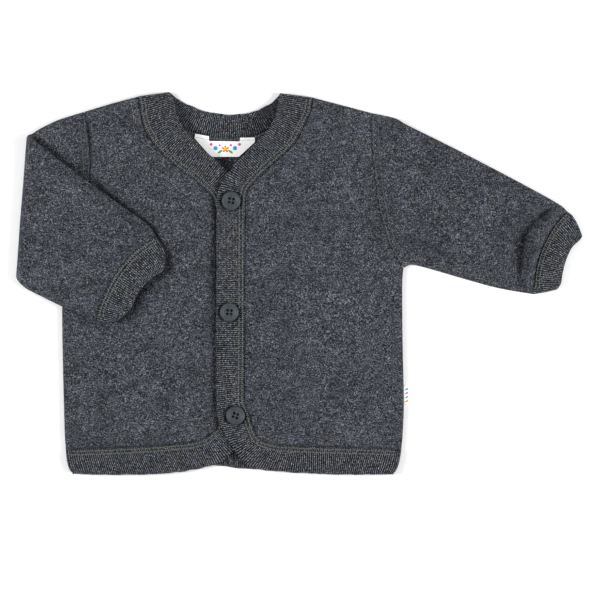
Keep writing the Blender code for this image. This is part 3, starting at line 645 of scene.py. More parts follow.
def make_back(fleece):
    shoulder_right, shoulder_left = curve(RIGHT_SHOULDER), curve(LEFT_SHOULDER)
    neck, hem = curve(BACK_NECK), curve(BACK_HEM)
    armholes = [curve(RIGHT_ARMHOLE), curve(LEFT_ARMHOLE)]
    flanks = [curve(RIGHT_SIDE), curve(LEFT_SIDE)]
    top = np.vstack([shoulder_right, neck[1:], shoulder_left[::-1][1:]])
    right = np.vstack([armholes[0], flanks[0][1:]])
    left = np.vstack([armholes[1], flanks[1][1:]])
    u = places(run_of(left)[-1], BACK_STEP)[:, None]
    v = places(2 * HALF_CHEST, BACK_STEP)[None, :]
    flat = patch(top, hem, right, left, u, v)
    from_seam = nearest(flat, *armholes, neck, hem)
    from_fold = nearest(flat, shoulder_right, shoulder_left, *flanks)
    turn = rounded(from_fold, SIDE_ROUND)
    seam = SEAM_DEEP * dip(from_seam, SEAM_WIDE)
    upper = FLEECE - 0.5 * seam + 0.5 * felt(flat, 51) * smooth_step(from_fold, 0.0, 8.0)
    lower = FLEECE_MEET_Z - 0.1 + (0.5 * seam - FLEECE_MEET_Z + 0.1) * turn
    upper = np.maximum(upper, lower + 0.05)
    made = panel("back_fleece", with_height(flat, upper), with_height(flat, lower), fleece)
    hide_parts("back")
    return made


# ---- sleeves and cuffs: flattened tubes with an outer and an inner skin ---------------------------

SLEEVE_STEP, HIDDEN_STEP = 1.1, 3.4
SLEEVE_ROUND, CUFF_ROUND = 2.6, 2.5  # radius of a flattened tube's side
LIP = 1.1  # radius of the turned end of a cuff

# How far each stretch swells beyond a plain flat tube, and how much more where it is gathered in.
LAID_FULL, LAID_GATHERED = 5.2, 3.0
UPPER_ARM_FULL = 2.0
FOREARM_FULL, FOREARM_GATHERED = 4.2, 1.2
CUFF_FULL, CUFF_OPENED = 0.7, 1.8  # the folded cuff's opening stands up off the front


def tube_rings(grid, long, ring, height, wall, rim, proud, lay, lip=None):
    """The closed rings of a flattened tube, down its outer skin and back up the inner one.

    ring is (shares, faces): shares across the row, and 1 over the top or -1 underneath. proud is
    how far each outer point stands beyond the plain tube, and lip how far each ring is from an end
    that is turned in, if there is one.
    """
    shares, faces = ring
    turned_in = 0.0 if lip is None else (LIP * (1 - rounded(lip, LIP, 0.0)))[:, None]
    skins = []
    for inset in (0.0, wall):
        across = inset / long[:, None] + shares * (1 - 2 * inset / long[:, None])
        flat = grid(across)
        edge = np.minimum(shares, 1 - shares) * (long[:, None] - 2 * inset)
        half = height / 2 + proud(flat) - inset + (turned_in if inset else -turned_in)
        rise = np.maximum(half, 0.06) * rounded(edge, max(rim - inset, 0.4), 0.0)
        skins.append(lay(flat, height / 2 + faces * rise))
    return np.concatenate([skins[0], skins[1][::-1]])


def both_faces(over, under):
    """Shares and faces of a ring, from the places over its top and those underneath."""
    under = under[::-1][1:-1]
    shares = np.concatenate([over, under])
    return shares, np.concatenate([np.ones(len(over)), -np.ones(len(under))])


def lengths(first, last, u):
    """Rough length of each row of a patch whose first and last rows are given."""
    return run_of(first)[-1] * (1 - u) + run_of(last)[-1] * u


def laid_flat(flat, height):
    return with_height(flat, SLEEVE_REST + height)


def folded_over(axis_z):
    """Lays points that have turned about the fold by an angle each, from 0 to pi."""
    fold = np.subtract(FOLD_LOW, FOLD_TOP)
    fold = fold / np.hypot(*fold)
    outward = np.array([fold[1], -fold[0]])

    def lay(flat, height, angle, lift=0.0):
        radius = axis_z - height
        low = forearm_droop(flat) * (angle > 3.0) if axis_z == FOLD_AXIS_Z else 0.0
        z = SLEEVE_REST + axis_z - radius * np.cos(angle) - low + lift
        return with_height(flat + outward * (radius * np.sin(angle))[..., None], z)

    return lay


# How high the forearm's upper edge stands off the jacket: (share of its length, mm).
STANDS_OFF = [(0.0, 3.6), (0.1, 4.9), (0.22, 4.8), (0.35, 4.2), (0.5, 4.5), (0.8, 2.6), (1.0, 0.0)]
ARMHOLE_ROWS = (1.6, 5.4)  # topstitching on the sleeve, from the armhole seam


def needle_furrows(gap, rows, wide=0.55, deep=0.16):
    return deep * sum(dip(gap - row, wide) for row in rows)


def gathered_above(from_seam, edge, most, wide):
    """The low roll of cloth where a full sleeve is gathered in above its cuff."""
    return most * np.exp(-(((from_seam - 5.0) / wide) ** 2)) * smooth_step(edge, 0.0, 9.0)


def make_left_sleeve(fleece):
    armhole, seam = curve(LEFT_ARMHOLE), curve(LEFT_CUFF_SEAM)
    upper, under = curve(LEFT_SLEEVE_UPPER), curve(LEFT_SLEEVE_UNDER)
    u = places(run_of(upper)[-1], SLEEVE_STEP)
    long = lengths(armhole, seam, u)
    ring = both_faces(places(long.max(), SLEEVE_STEP), places(long.max(), HIDDEN_STEP))

    def proud(flat):
        from_armhole, from_seam = nearness(flat, armhole)[0], nearness(flat, seam)[0]
        from_ends = np.minimum(from_armhole, from_seam)
        edge = nearest(flat, upper, under)
        full = LAID_FULL * smooth_step(np.minimum(from_ends, edge), 0.0, 18.0)
        full += gathered_above(from_seam, edge, LAID_GATHERED, 4.0)
        over = full + felt(flat, 71) - creased(flat, LEFT_SLEEVE_CREASES)
        over -= needle_furrows(from_armhole, ARMHOLE_ROWS)
        over *= smooth_step(edge, 0.0, 4.0)
        over = softly_over(over, -1.0) - CUFF_DEEP * dip(from_seam, SEAM_WIDE)
        over -= ARMHOLE_DEEP * dip(from_armhole, SEAM_WIDE)
        return np.where(ring[1] > 0, over, -0.4 * SEAM_DEEP * dip(from_ends, SEAM_WIDE))

    def grid(across):
        return patch(armhole, seam, upper, under, u[:, None], across)

    rings = tube_rings(grid, long, ring, SLEEVE_HEIGHT, FLEECE, SLEEVE_ROUND, proud, laid_flat)
    made = loft("left_sleeve_fleece", rings, fleece, hollow=True)
    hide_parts("sleeve_left")
    return made


def upper_arm_face(flat, edge, from_armhole):
    """How far the upper arm stands beyond a plain flat tube, pressed in by the folded forearm."""
    pressed = np.exp(-beside_folded_arm(flat) / 9.0)
    face = UPPER_ARM_FULL * smooth_step(edge, 0.0, 14.0) * (1 - pressed) + felt(flat, 91)
    face -= 1.2 * pressed * smooth_step(from_armhole, 0.0, 5.0)
    face += 0.9 * pillowed(flat, 10.0) * smooth_step(np.minimum(from_armhole, edge), 0.0, 12.0)
    face -= creased(flat, UPPER_ARM_CREASES) + needle_furrows(from_armhole, ARMHOLE_ROWS)
    return face * smooth_step(edge, 0.0, 4.0) - ARMHOLE_DEEP * dip(from_armhole, SEAM_WIDE)


def forearm_face(flat, edge, from_seam, from_fold):
    """The same for the forearm, which is flat at the fold and full toward its cuff."""
    full = FOREARM_FULL * smooth_step(np.minimum(0.6 * from_seam, edge), 0.0, 9.0)
    full = full * smooth_step(from_fold, 0.0, 30.0)
    full += gathered_above(from_seam, edge, FOREARM_GATHERED, 4.5)
    face = (full + felt(flat, 111) - creased(flat, FOREARM_CREASES)) * smooth_step(edge, 0.0, 4.0)
    return softly_over(face, -1.0) - CUFF_DEEP * dip(from_seam, SEAM_WIDE)


def make_right_sleeve(fleece):
    armhole, seam = curve(RIGHT_ARMHOLE), curve(RIGHT_CUFF_SEAM)
    reach = np.array([FOLD_AXIS_Z, 0.0])
    out_row = curve([At(FOLD_TOP.across, FOLD_TOP.up + 2.7), FOLD_MIDDLE, FOLD_LOW]) + reach
    back_row = curve([FOLD_TOP, FOLD_MIDDLE, FOLD_LOW_RETURN]) + reach
    arm_top = curve([*UPPER_ARM_TOP[:-1], At(*out_row[0])])
    arm_under = curve([*UPPER_ARM_UNDER[:-1], At(*out_row[-1])])
    upper = curve([At(*back_row[0]), *FOREARM_UPPER])
    under = curve([At(*back_row[-1]), *FOREARM_UNDER])

    arm_u = places(run_of(arm_top)[-1], SLEEVE_STEP)
    turn_u = np.linspace(0, 1, 22)[1:-1]
    fore_u = places(run_of(upper)[-1], SLEEVE_STEP, fine=(0.0, 1.0))
    fore_u[-3:] = 1 - np.array([0.9, 0.4, 0.0]) / run_of(upper)[-1]
    long = np.concatenate([
        lengths(armhole, out_row, arm_u),
        lengths(out_row, back_row, turn_u),
        lengths(back_row, seam, fore_u),
    ])
    angle = np.concatenate([0 * arm_u, math.pi * turn_u, 0 * fore_u + math.pi])[:, None]
    ring = both_faces(places(long.max(), SLEEVE_STEP), places(long.max(), SLEEVE_STEP))

    def grid(across):
        arm, turn = len(arm_u), len(arm_u) + len(turn_u)
        first, last = at_shares(out_row, across[arm:turn]), at_shares(back_row, across[arm:turn])
        return np.concatenate([
            patch(armhole, out_row, arm_top, arm_under, arm_u[:, None], across[:arm]),
            first + (last - first) * turn_u[:, None, None],
            patch(back_row, seam, upper, under, fore_u[:, None], across[turn:]),
        ])

    def proud(flat):
        forearm = smooth_step(angle, 0.9, 2.4)
        edge = np.where(angle > 1.5, nearest(flat, upper, under), nearest(flat, arm_top, arm_under))
        from_armhole, from_seam = nearness(flat, armhole)[0], nearness(flat, seam)[0]
        from_fold = nearness(flat, back_row)[0]
        arm = upper_arm_face(flat, edge, from_armhole) * (1 - forearm)
        return np.where(ring[1] > 0, arm, forearm_face(flat, edge, from_seam, from_fold) * forearm)

    fold, upper_edge = folded_over(FOLD_AXIS_Z), curve(FOREARM_UPPER)
    shares, stands_off = np.array(STANDS_OFF).T

    def lay(flat, height):
        gap, place = nearness(flat, upper_edge)
        lift = np.interp(place, run_of(upper_edge)[-1] * shares, stands_off) * np.exp(-gap / 12.0)
        return fold(flat, height, angle, lift * smooth_step(angle, 2.2, 3.1))

    rings = tube_rings(grid, long, ring, SLEEVE_HEIGHT, FLEECE, SLEEVE_ROUND, proud, lay)
    made = loft("right_sleeve_fleece", rings, fleece, hollow=True)
    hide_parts("sleeve_right")
    return made


def ribbed(count):
    """Height of each column of points across count ribs, from 0 in a furrow to 1 on a rib."""
    place = np.arange(count * RIB_SAMPLES + 1) / RIB_SAMPLES % 1.0
    return np.sqrt(1 - (2 * place - 1) ** 2)


Cuff = namedtuple("Cuff", "side seam opening upper under")
CUFFS = [
    Cuff("left", LEFT_CUFF_SEAM, LEFT_CUFF_OPENING, LEFT_CUFF_UPPER, LEFT_CUFF_UNDER),
    Cuff("right", RIGHT_CUFF_SEAM, RIGHT_CUFF_OPENING, RIGHT_CUFF_UPPER, RIGHT_CUFF_UNDER),
]


def make_cuff(cuff, rib):
    seam, opening = curve(cuff.seam), curve(cuff.opening)
    upper, under = curve(cuff.upper), curve(cuff.under)
    deep = (run_of(upper)[-1] + run_of(under)[-1]) / 2
    u = places(deep, 0.9, fine=(0.0, 0.25, 0.6, 1.0))
    long = lengths(seam, opening, u)
    ribs = round(long.mean() / RIB_PITCH)
    columns = np.linspace(0, 1, ribs * RIB_SAMPLES + 1)
    ring = both_faces(columns, columns)
    furrows = np.concatenate([ribbed(ribs), ribbed(ribs)[1:-1]])
    folded = cuff.side == "right"

    def proud(flat):
        from_seam = nearness(flat, seam)[0]
        edge = np.minimum(ring[0], 1 - ring[0]) * long[:, None]
        stitched = 1 - 0.6 * dip(from_seam - 2.9, 2.6)
        full = CUFF_FULL * smooth_step(np.minimum(edge, from_seam), 1.0, 12.0)
        over = 0.75 * RIB_DEEP * (furrows - 1) * stitched - CUFF_DEEP * dip(from_seam, SEAM_WIDE)
        over -= needle_furrows(from_seam, NEEDLES)
        shown = ring[1] < 0 if folded else ring[1] > 0
        soft = 0.16 * unevenness(flat[..., 0], flat[..., 1], 8.0, 131)
        return over + np.where(shown, full + soft, 0.0)

    def grid(across):
        return patch(seam, opening, upper, under, u[:, None], across)

    fold = folded_over(CUFF_AXIS_Z)
    opened = CUFF_OPENED * smooth_step(u[:, None], 0.15, 1.0)
    lay = (lambda flat, height: fold(flat, height, math.pi, opened)) if folded else laid_flat
    from_opening = (1 - u) * deep
    rings = tube_rings(grid, long, ring, CUFF_HEIGHT, RIB, CUFF_ROUND, proud, lay, from_opening)
    around = np.arange(len(ring[0])) / RIB_SAMPLES * RIB_PITCH
    knit = np.stack(np.broadcast_arrays(around[None], (u * deep)[:, None]), axis=-1)
    knit = np.concatenate([knit, knit[::-1]])
    made = loft(f"{cuff.side}_cuff_rib", rings, rib, knit, hollow=True)
    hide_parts(f"cuff_{cuff.side}")
    return made


# ---- the binding: one strip round the neck, down the front and along the hem ----------------------

FOLD_EDGE = 1.25  # radius of the binding's folded edge
ACROSS_STEP = 1.15
BESIDE_SEAM = np.array([0.0, 0.25, 0.6, 1.0, 1.4, 1.8, 2.4, 3.0, 3.7, 4.1, 4.5, 4.9, 5.4])
BESIDE_EDGE = np.array([1.6, 1.25, 0.9, 0.55, 0.28, 0.1, 0.0])
UNDERNEATH = np.linspace(1.0, 0.0, 8)[1:]
EASED_OVER = 21  # columns of points on each side, over which the ribs even out round a corner

Strip = namedtuple("Strip", "seam edge low ends lift")


def ribs_along(seam, edge):
    """Matched points on a strip's two edges, RIB_SAMPLES of them for each rib, and their run."""
    run = (run_of(seam) + run_of(edge)) / 2
    ribs = round(run[-1] / RIB_PITCH)
    wanted = np.linspace(0, run[-1], ribs * RIB_SAMPLES + 1)
    sides = []
    for chain in (seam, edge):
        reached = np.interp(wanted, run, run_of(chain))
        window = np.hanning(2 * EASED_OVER + 1)
        before = 2 * reached[0] - reached[EASED_OVER:0:-1]
        after = 2 * reached[-1] - reached[-2:-EASED_OVER - 2:-1]
        extended = np.concatenate([before, reached, after])
        sides.append(along(chain, np.convolve(extended, window / window.sum(), "valid")))
    return sides[0], sides[1], wanted


def shares_across(wide):
    """Shares across a strip of each row of points: over its top, then back underneath it."""
    mean, wide = wide.mean(), wide[:, None]
    fine, at_ends = BESIDE_SEAM[-1], BESIDE_SEAM[-1] + BESIDE_EDGE[0]
    middle = np.arange(fine + 1.0, 40.0, ACROSS_STEP)
    middle = middle[middle < mean - 2.4]
    return np.concatenate([
        BESIDE_SEAM / wide,
        fine / wide + (1 - at_ends / wide) * (middle - fine) / (mean - at_ends),
        1 - BESIDE_EDGE / wide,
        np.broadcast_to(UNDERNEATH, (len(wide), len(UNDERNEATH))),
    ], axis=1)


def between(strip, seam, edge, run, shares):
    """Points between a strip's two edges, and bent at its ends to their own outlines."""
    flat = seam[:, None] + (edge - seam)[:, None] * shares[..., None]
    for at_end, table in strip.ends.items():
        end = curve(table)
        bent = at_shares(end, shares) - (end[0] + (end[-1] - end[0]) * shares[..., None])
        away = run if at_end == 0 else run[-1] - run
        flat = flat + bent * (1 - smooth_step(away, 0.0, 16.0))[:, None, None]
    return flat


def rib_relief(flat, from_seam):
    """How far each point lies below the top of its rib. The coverstitch holds the ribs flatter."""
    ridge = np.broadcast_to(ribbed(round((len(flat) - 1) / RIB_SAMPLES))[:, None], from_seam.shape)
    stitched = 1 - 0.55 * smooth_step(from_seam, 0.2, 0.9) * (1 - smooth_step(from_seam, 4.7, 5.5))
    slack = 1.6 - 0.6 * above_hem(flat)  # the hem's ribs are not stretched
    slack *= 1 + 0.45 * unevenness(flat[..., 0], flat[..., 1], 2.6, 171)
    return RIB_DEEP * (1 - ridge) * stitched * slack


def binding_top(name, flat, run, from_seam, relief):
    """Height of a binding's upper face above its underside, before its edges are turned over."""
    x, y = flat[..., 0], flat[..., 1]
    soft = 0.22 * unevenness(x, y, 9.0, 151)
    soft += 0.12 * unevenness(x, y, 3.1, 157)
    top = RIB + soft - relief
    if name != "back_neck_rib":
        top -= needle_furrows(from_seam, NEEDLES)
    at_hem = 1 - above_hem(flat)
    top -= (1.1 + 0.5 * at_hem) * dip(from_seam, 0.72)
    if name == "left_binding_rib":  # it has a seam across it at the shoulder, and the buttons on it
        top -= 0.7 * dip(run - 3.9, 0.5)[:, None]
        for button in BUTTONS:
            away = np.hypot(x - button.across, y - button.up)
            top -= 1.5 * dip(np.maximum(away - BUTTON_RADIUS - 0.1, 0.0), 0.6)
            top -= 0.25 * dip(away, 3.4)
    elif name == "back_neck_rib":  # pressed down where the fronts' binding crosses it
        crossed = nearest(flat, curve(LEFT_NECK_EDGE), curve(RIGHT_NECK_EDGE))
        top -= 0.9 * np.exp(-crossed / 4.0)
    return np.maximum(top, 0.4)


def make_binding(name, strip, rib, nodes):
    seam, edge, run = ribs_along(strip.seam, strip.edge)
    wide = np.hypot(*(edge - seam).T)
    shares = shares_across(wide)
    flat = between(strip, seam, edge, run, shares)
    from_seam, from_edge = shares * wide[:, None], (1 - shares) * wide[:, None]
    relief = rib_relief(flat, from_seam)

    low = strip.low(flat)
    lift = strip.lift(flat) * smooth_step(shares, 0.15, 1.0)
    if name == "left_binding_rib":  # where it lies on the right one, its free edge curls up a little
        curl = (0.3 + 0.6 * toward_neck(flat)) * (1 - smooth_step(from_edge, 0.0, 4.5))
        lift = lift + curl * (low > OVERLAP_Z - 0.5)
    from_ends = np.minimum(run, run[-1] - run)[:, None]
    turned_over = rounded(from_edge, FOLD_EDGE, 0.0) * rounded(from_ends, 0.7, 0.12)
    middle = RIB / 2
    upper = middle + (binding_top(name, flat, run, from_seam, relief) - middle) * turned_over
    lower = middle - middle * turned_over
    above = np.arange(shares.shape[1]) < shares.shape[1] - len(UNDERNEATH)
    height = low + lift + np.where(above, upper, lower)

    outward = (edge - seam) / wide[:, None]
    worn = 0.35 * unevenness(run, 0 * run, 7.0, 163) + 0.12 * unevenness(run, 0 * run, 2.1, 167)
    push = (worn[:, None] - relief) * smooth_step(shares, 0.8, 1.0)
    flat = flat + outward[:, None] * push[..., None]
    wales = np.arange(len(run)) / RIB_SAMPLES * RIB_PITCH
    # The back neck rib's knit starts 9 mm on, clear of the painted shade beside a coverstitch
    clear = 9.0 if name == "back_neck_rib" else 0.0  # no coverstitch presses this one
    knit = np.stack([np.broadcast_to(wales[:, None], shares.shape), from_seam + clear], axis=-1)
    made = loft(name, with_height(flat, height), rib, knit)
    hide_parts(*nodes)
    return made, seam, edge


def neck_lift(most):
    """The neck's free edge stands up between the shoulder and the first button."""
    return lambda flat: most * (
        smooth_step(flat[..., 1], 222.0, 246.0) - 0.94 * smooth_step(flat[..., 1], 268.0, 285.0)
    )


def binding_strips():
    left = Strip(
        curve(LEFT_NECK, LEFT_CENTRE, LEFT_CORNER, LEFT_HEM),
        curve(LEFT_NECK_EDGE, LEFT_CENTRE_EDGE, LEFT_CORNER_EDGE, LEFT_HEM_EDGE),
        lying(FRONT_RIB_Z, "left"), {-1: LEFT_HEM_END}, neck_lift(9.2),
    )
    right = Strip(
        curve(RIGHT_NECK, RIGHT_CENTRE, RIGHT_CORNER, RIGHT_HEM),
        curve(RIGHT_NECK_EDGE, RIGHT_CENTRE_EDGE, RIGHT_CORNER_EDGE, RIGHT_HEM_EDGE),
        lying(FRONT_RIB_Z, "right"), {-1: RIGHT_HEM_END}, neck_lift(6.6),
    )
    neck = Strip(
        curve(BACK_NECK), curve(BACK_NECK_EDGE), lying(0.0, "right"), {}, neck_lift(0.0)
    )
    evenly = np.linspace(0, 1, 80)
    hem = Strip(
        at_shares(curve(BACK_HEM), evenly), at_shares(curve(BACK_HEM_EDGE), evenly),
        lying(0.0, "right"), {0: RIGHT_HEM_END, -1: LEFT_HEM_END}, neck_lift(0.0),
    )
    return left, right, neck, hem


# ---- stitches --------------------------------------------------------------------------------------

STITCH_STATIONS, STITCH_SIDES = 7, 6


def surface_of(piece):
    mesh = piece.data
    return BVHTree.FromPolygons([v.co for v in mesh.vertices], [p.vertices for p in mesh.polygons])


def heights_on(surface, flat, default):
    """Height of a piece's upper surface at each point, in mm."""
    down, found = Vector((0, 0, -1)), []
    for point in placed(with_height(flat.reshape(-1, 2), np.full(flat[..., 0].size, 60.0))):
        hit = surface.ray_cast(Vector(point), down)[0]
        found.append(default if hit is None else hit.z / MM)
    return np.array(found).reshape(flat.shape[:-1])


def row_of_stitches(chain, start=1.0, finish=1.0):
    """The two ends of each stitch of a row along a chain."""
    long = run_of(chain)[-1]
    count = int((long - start - finish) // STITCH_PITCH)
    first = start + STITCH_PITCH * np.arange(count)
    return np.stack([along(chain, first), along(chain, first + STITCH_LONG)], axis=1)


def make_stitches(name, rows, surface, thread, radius=THREAD_RADIUS, facing=1, default=0.0):
    """Short arched threads whose ends dive into the cloth, all of a seam's in one mesh."""
    ends = np.concatenate(rows)
    t = np.linspace(0, 1, STITCH_STATIONS)[:, None]
    flat = ends[:, None, 0] * (1 - t) + ends[:, None, 1] * t
    if surface is None:
        ground = np.full(flat.shape[:-1], default)
    else:
        ground = heights_on(surface, flat, default)
        ground = (ground + np.median(ground, axis=1, keepdims=True)) / 2
    arch = radius * (1.5 * np.sin(np.pi * t[:, 0]) ** 0.5 - 0.8)
    ahead = ends[:, 1] - ends[:, 0]
    ahead = ahead / np.hypot(*ahead.T)[:, None]
    beside_it = np.stack([-ahead[:, 1], ahead[:, 0]], axis=1)
    angle = 2 * np.pi * np.arange(STITCH_SIDES) / STITCH_SIDES
    thin = radius * (0.65 + 0.35 * np.sin(np.pi * t[:, 0]) ** 0.5)
    spread = thin[:, None] * np.cos(angle)
    around = flat[:, :, None] + beside_it[:, None, None] * spread[None, ..., None]
    lift = (thin[:, None] * np.sin(angle))[None]
    points = with_height(around, ground[..., None] + facing * (arch[None, :, None] + lift))
    one = np.arange(STITCH_STATIONS * STITCH_SIDES).reshape(STITCH_STATIONS, STITCH_SIDES)
    wrapped = np.concatenate([one, one[:, :1]], axis=1)
    faces = grid_faces(wrapped) + [one[0].tolist(), one[-1, ::-1].tolist()]
    step = one.size
    every = [[corner + step * n for corner in face] for n in range(len(ends)) for face in faces]
    return piece_from(name, points.reshape(-1, 3), every, thread)


def make_binding_stitches(name, piece, seam, edge, thread, needles=NEEDLES, finish=2.0):
    rows = []
    for needle in needles:
        wide = np.hypot(*(edge - seam).T)[:, None]
        rows.append(row_of_stitches(seam + (edge - seam) * needle / wide, 0.8 + needle / 4, finish))
    return make_stitches(name, rows, surface_of(piece), thread)


def make_cuff_stitches(cuff, piece, thread):
    seam, opening = at_shares(curve(cuff.seam), np.linspace(0.012, 0.988, 60)), curve(cuff.opening)
    goal = at_shares(opening, np.linspace(0.012, 0.988, 60))
    wide = np.hypot(*(goal - seam).T)[:, None]
    rows = [row_of_stitches(seam + (goal - seam) * needle / wide) for needle in NEEDLES]
    return make_stitches(f"{cuff.side}_cuff_coverstitch", rows, surface_of(piece), thread)


def make_armhole_stitches(side, armhole, piece, thread):
    rows = []
    for gap in ARMHOLE_ROWS:
        chain = beside(at_shares(curve(armhole), np.linspace(0.02, 0.98, 90)), gap)
        row = row_of_stitches(chain, 1.0, 3.0)
        if side == "right":  # the rest of it is under the folded sleeve
            row = row[beside_folded_arm(row.mean(axis=1)) > 1.5]
        rows.append(row)
    return make_stitches(f"{side}_armhole_topstitch", rows, surface_of(piece), thread, radius=0.3)


# ---- buttons ---------------------------------------------------------------------------------------

BUTTON_TURN, DRILL_TURN = 96, 24  # segments round each
BUTTON_PROFILE = [  # (radius, height) down the outer side, from the middle of the face
    (0.0, BUTTON_FACE), (1.0, BUTTON_FACE), (2.6, 1.81), (3.3, 1.84), (3.9, 1.9), (4.4, 2.04),
    (4.8, 2.24), (5.1, 2.36), (5.4, 2.42), (5.75, 2.42), (6.1, 2.34), (6.45, 2.16), (6.75, 1.94),
    (6.95, 1.7), (BUTTON_RADIUS, 1.4), (7.08, 1.2), (6.9, 0.75), (6.5, 0.4), (5.8, 0.16),
    (4.6, 0.04), (0.0, 0.0),
]


DRILL_PROFILE = [  # a hole with an eased rim, which widens above the face
    (0.0, 6.0), (2.0, 6.0), (HOLE_RADIUS + 0.2, 2.0), (HOLE_RADIUS + 0.05, 1.76),
    (HOLE_RADIUS, 1.6), (HOLE_RADIUS, -2.0), (0.0, -2.0),
]


def turned(name, profile, segments):
    """A turned body about the z axis, in mm."""
    bm = bmesh.new()
    rings = []
    for radius, height in profile:
        if radius == 0.0:
            rings.append([bm.verts.new((0.0, 0.0, height))])
            continue
        angles = [2 * math.pi * step / segments for step in range(segments)]
        corners = [(radius * math.cos(a), radius * math.sin(a), height) for a in angles]
        rings.append([bm.verts.new(corner) for corner in corners])
    for near, far in zip(rings, rings[1:]):
        for step in range(segments):
            following = (step + 1) % segments
            corners = [near[step % len(near)], near[following % len(near)],
                       far[following % len(far)], far[step % len(far)]]
            bm.faces.new(list(dict.fromkeys(corners)))
    bmesh.ops.recalc_face_normals(bm, faces=bm.faces)
    mesh = bpy.data.meshes.new(name)
    bm.to_mesh(mesh)
    bm.free()
    made = bpy.data.objects.new(name, mesh)
    bpy.context.scene.collection.objects.link(made)
    return made


def make_button(button, plastic):
    body = turned(button.name + "_body", BUTTON_PROFILE, BUTTON_TURN)
    drills = []
    for side_x, side_y in ((-1, -1), (-1, 1), (1, -1), (1, 1)):
        drill = turned(button.name + "_drill", DRILL_PROFILE, DRILL_TURN)
        drill.location = (side_x * HOLE_PITCH / 2, side_y * HOLE_PITCH / 2, 0.0)
        cut = body.modifiers.new("hole", "BOOLEAN")
        cut.operation, cut.solver, cut.object = "DIFFERENCE", "EXACT", drill
        drills.append(drill)
    bpy.context.view_layer.update()
    graph = bpy.context.evaluated_depsgraph_get()
    mesh = bpy.data.meshes.new_from_object(body.evaluated_get(graph))
    for helper in (body, *drills):
        bpy.data.objects.remove(helper)
    centre = Vector(placed([button.across, button.up, BUTTON_Z]))
    turn = Matrix.Rotation(math.radians(-button.turn), 4, "Z")
    mesh.transform(Matrix.Translation(centre) @ turn @ Matrix.Scale(MM, 4))
    mesh.shade_smooth()
    mesh.set_sharp_from_angle(angle=math.radians(38))
    mesh.materials.clear()
    mesh.materials.append(plastic)
    made = bpy.data.objects.new(button.name + "_four_hole", mesh)
    bpy.context.scene.collection.objects.link(made)
    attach(made, "root")
    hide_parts(button.name)
    return made


STRAND_RADIUS, STRAND_APART = 0.14, 0.28


def make_button_thread(button, thread):
    """Two bars of thread, three strands each, sunk between each hole and the one across from it."""
    turn = math.radians(-button.turn)
    centre = np.array([button.across, button.up])
    reach = HOLE_PITCH / 2
    into = reach - 0.62
    stitches = []
    spin = np.array([[math.cos(turn), -math.sin(turn)], [math.sin(turn), math.cos(turn)]])
    for side in (-reach, reach):
        for shift in (-STRAND_APART, 0.0, STRAND_APART):
            ends = np.array([[-into, side + shift], [into, side + shift]])
            stitches.append(ends @ spin.T + centre)
    rows = [np.array(stitches)]
    return make_stitches(f"{button.name}_thread", rows, None, thread, radius=STRAND_RADIUS,
                         default=BUTTON_Z + BUTTON_FACE - 0.08)


# ---- the neck label and the side tab: white woven ribbon with a plain flower design ----------------

LABEL_Z = FLEECE + GAP
LABEL_THICK = 0.4
TAB_INNER, TAB_OUTER, TAB_LOW, TAB_THICK = 126.6, 131.9, 1.5, 0.36
TAB_BEND = 0.58  # outer radius of its folded end
SPOT_THICK, SPOT_SUNK = 0.14, 0.04  # a woven spot, and how much of it is in the ribbon
LABEL_MAIN = [
    (-29.3, 253.4), (-29.3, 252.6), (-28.0, 251.2), (-17.4, 239.1), (-16.4, 238.6), (3.7, 238.6),
    (4.6, 239.0), (15.8, 249.4), (16.2, 250.2), (16.2, 251.4), (4.9, 250.9), (4.7, 250.3),
    (-18.2, 250.6), (-18.4, 251.3),
]
LABEL_FOLDS = [  # (height of its underside, outline) of each folded end's layers
    (0.0, [(-28.8, 255.8), (-29.2, 253.5), (-18.5, 251.4), (-18.5, 253.8)]),
    (0.42, [(-28.8, 256.1), (-29.0, 255.2), (-18.4, 253.2), (-18.4, 254.1)]),
    (0.42, [(-29.1, 254.5), (-29.2, 253.8), (-18.4, 251.8), (-18.4, 252.5)]),
    (0.0, [(16.0, 252.8), (5.0, 252.8), (5.0, 251.0), (16.0, 251.5)]),
    (0.42, [(16.2, 253.2), (4.8, 253.1), (4.8, 252.4), (16.2, 252.6)]),
    (0.42, [(16.2, 252.0), (4.8, 251.7), (4.8, 251.1), (16.2, 251.5)]),
]
Spot = namedtuple("Spot", "colour across up wide long turn")
FLOWER_DESIGN = [
    *(Spot("orange", -6.2 + 1.75 * math.cos(a), 244.6 + 1.75 * math.sin(a), 1.15, 0.8,
           math.degrees(a)) for a in np.radians([90, 162, 234, 306, 18])),
    Spot("yellow", -6.2, 244.6, 0.95, 0.95, 0),
    Spot("green", -10.1, 242.5, 2.1, 0.8, 35), Spot("green", -2.3, 242.5, 2.1, 0.8, -35),
    Spot("cyan", -13.4, 245.2, 1.6, 1.6, 0), Spot("cyan", 1.0, 245.2, 1.6, 1.6, 0),
    Spot("pink", -16.8, 248.0, 1.15, 1.15, 0), Spot("pink", 4.4, 248.0, 1.15, 1.15, 0),
    Spot("pink", -10.4, 247.4, 0.9, 0.9, 0), Spot("pink", -2.0, 247.4, 0.9, 0.9, 0),
]
TAB_DESIGN = [
    Spot("orange", 130.0, 55.4, 1.55, 0.75, 38), Spot("green", 130.0, 58.4, 1.55, 0.75, 38),
    Spot("pink", 130.0, 61.4, 1.55, 0.75, 38), Spot("cyan", 130.0, 64.4, 1.55, 0.75, 38),
]


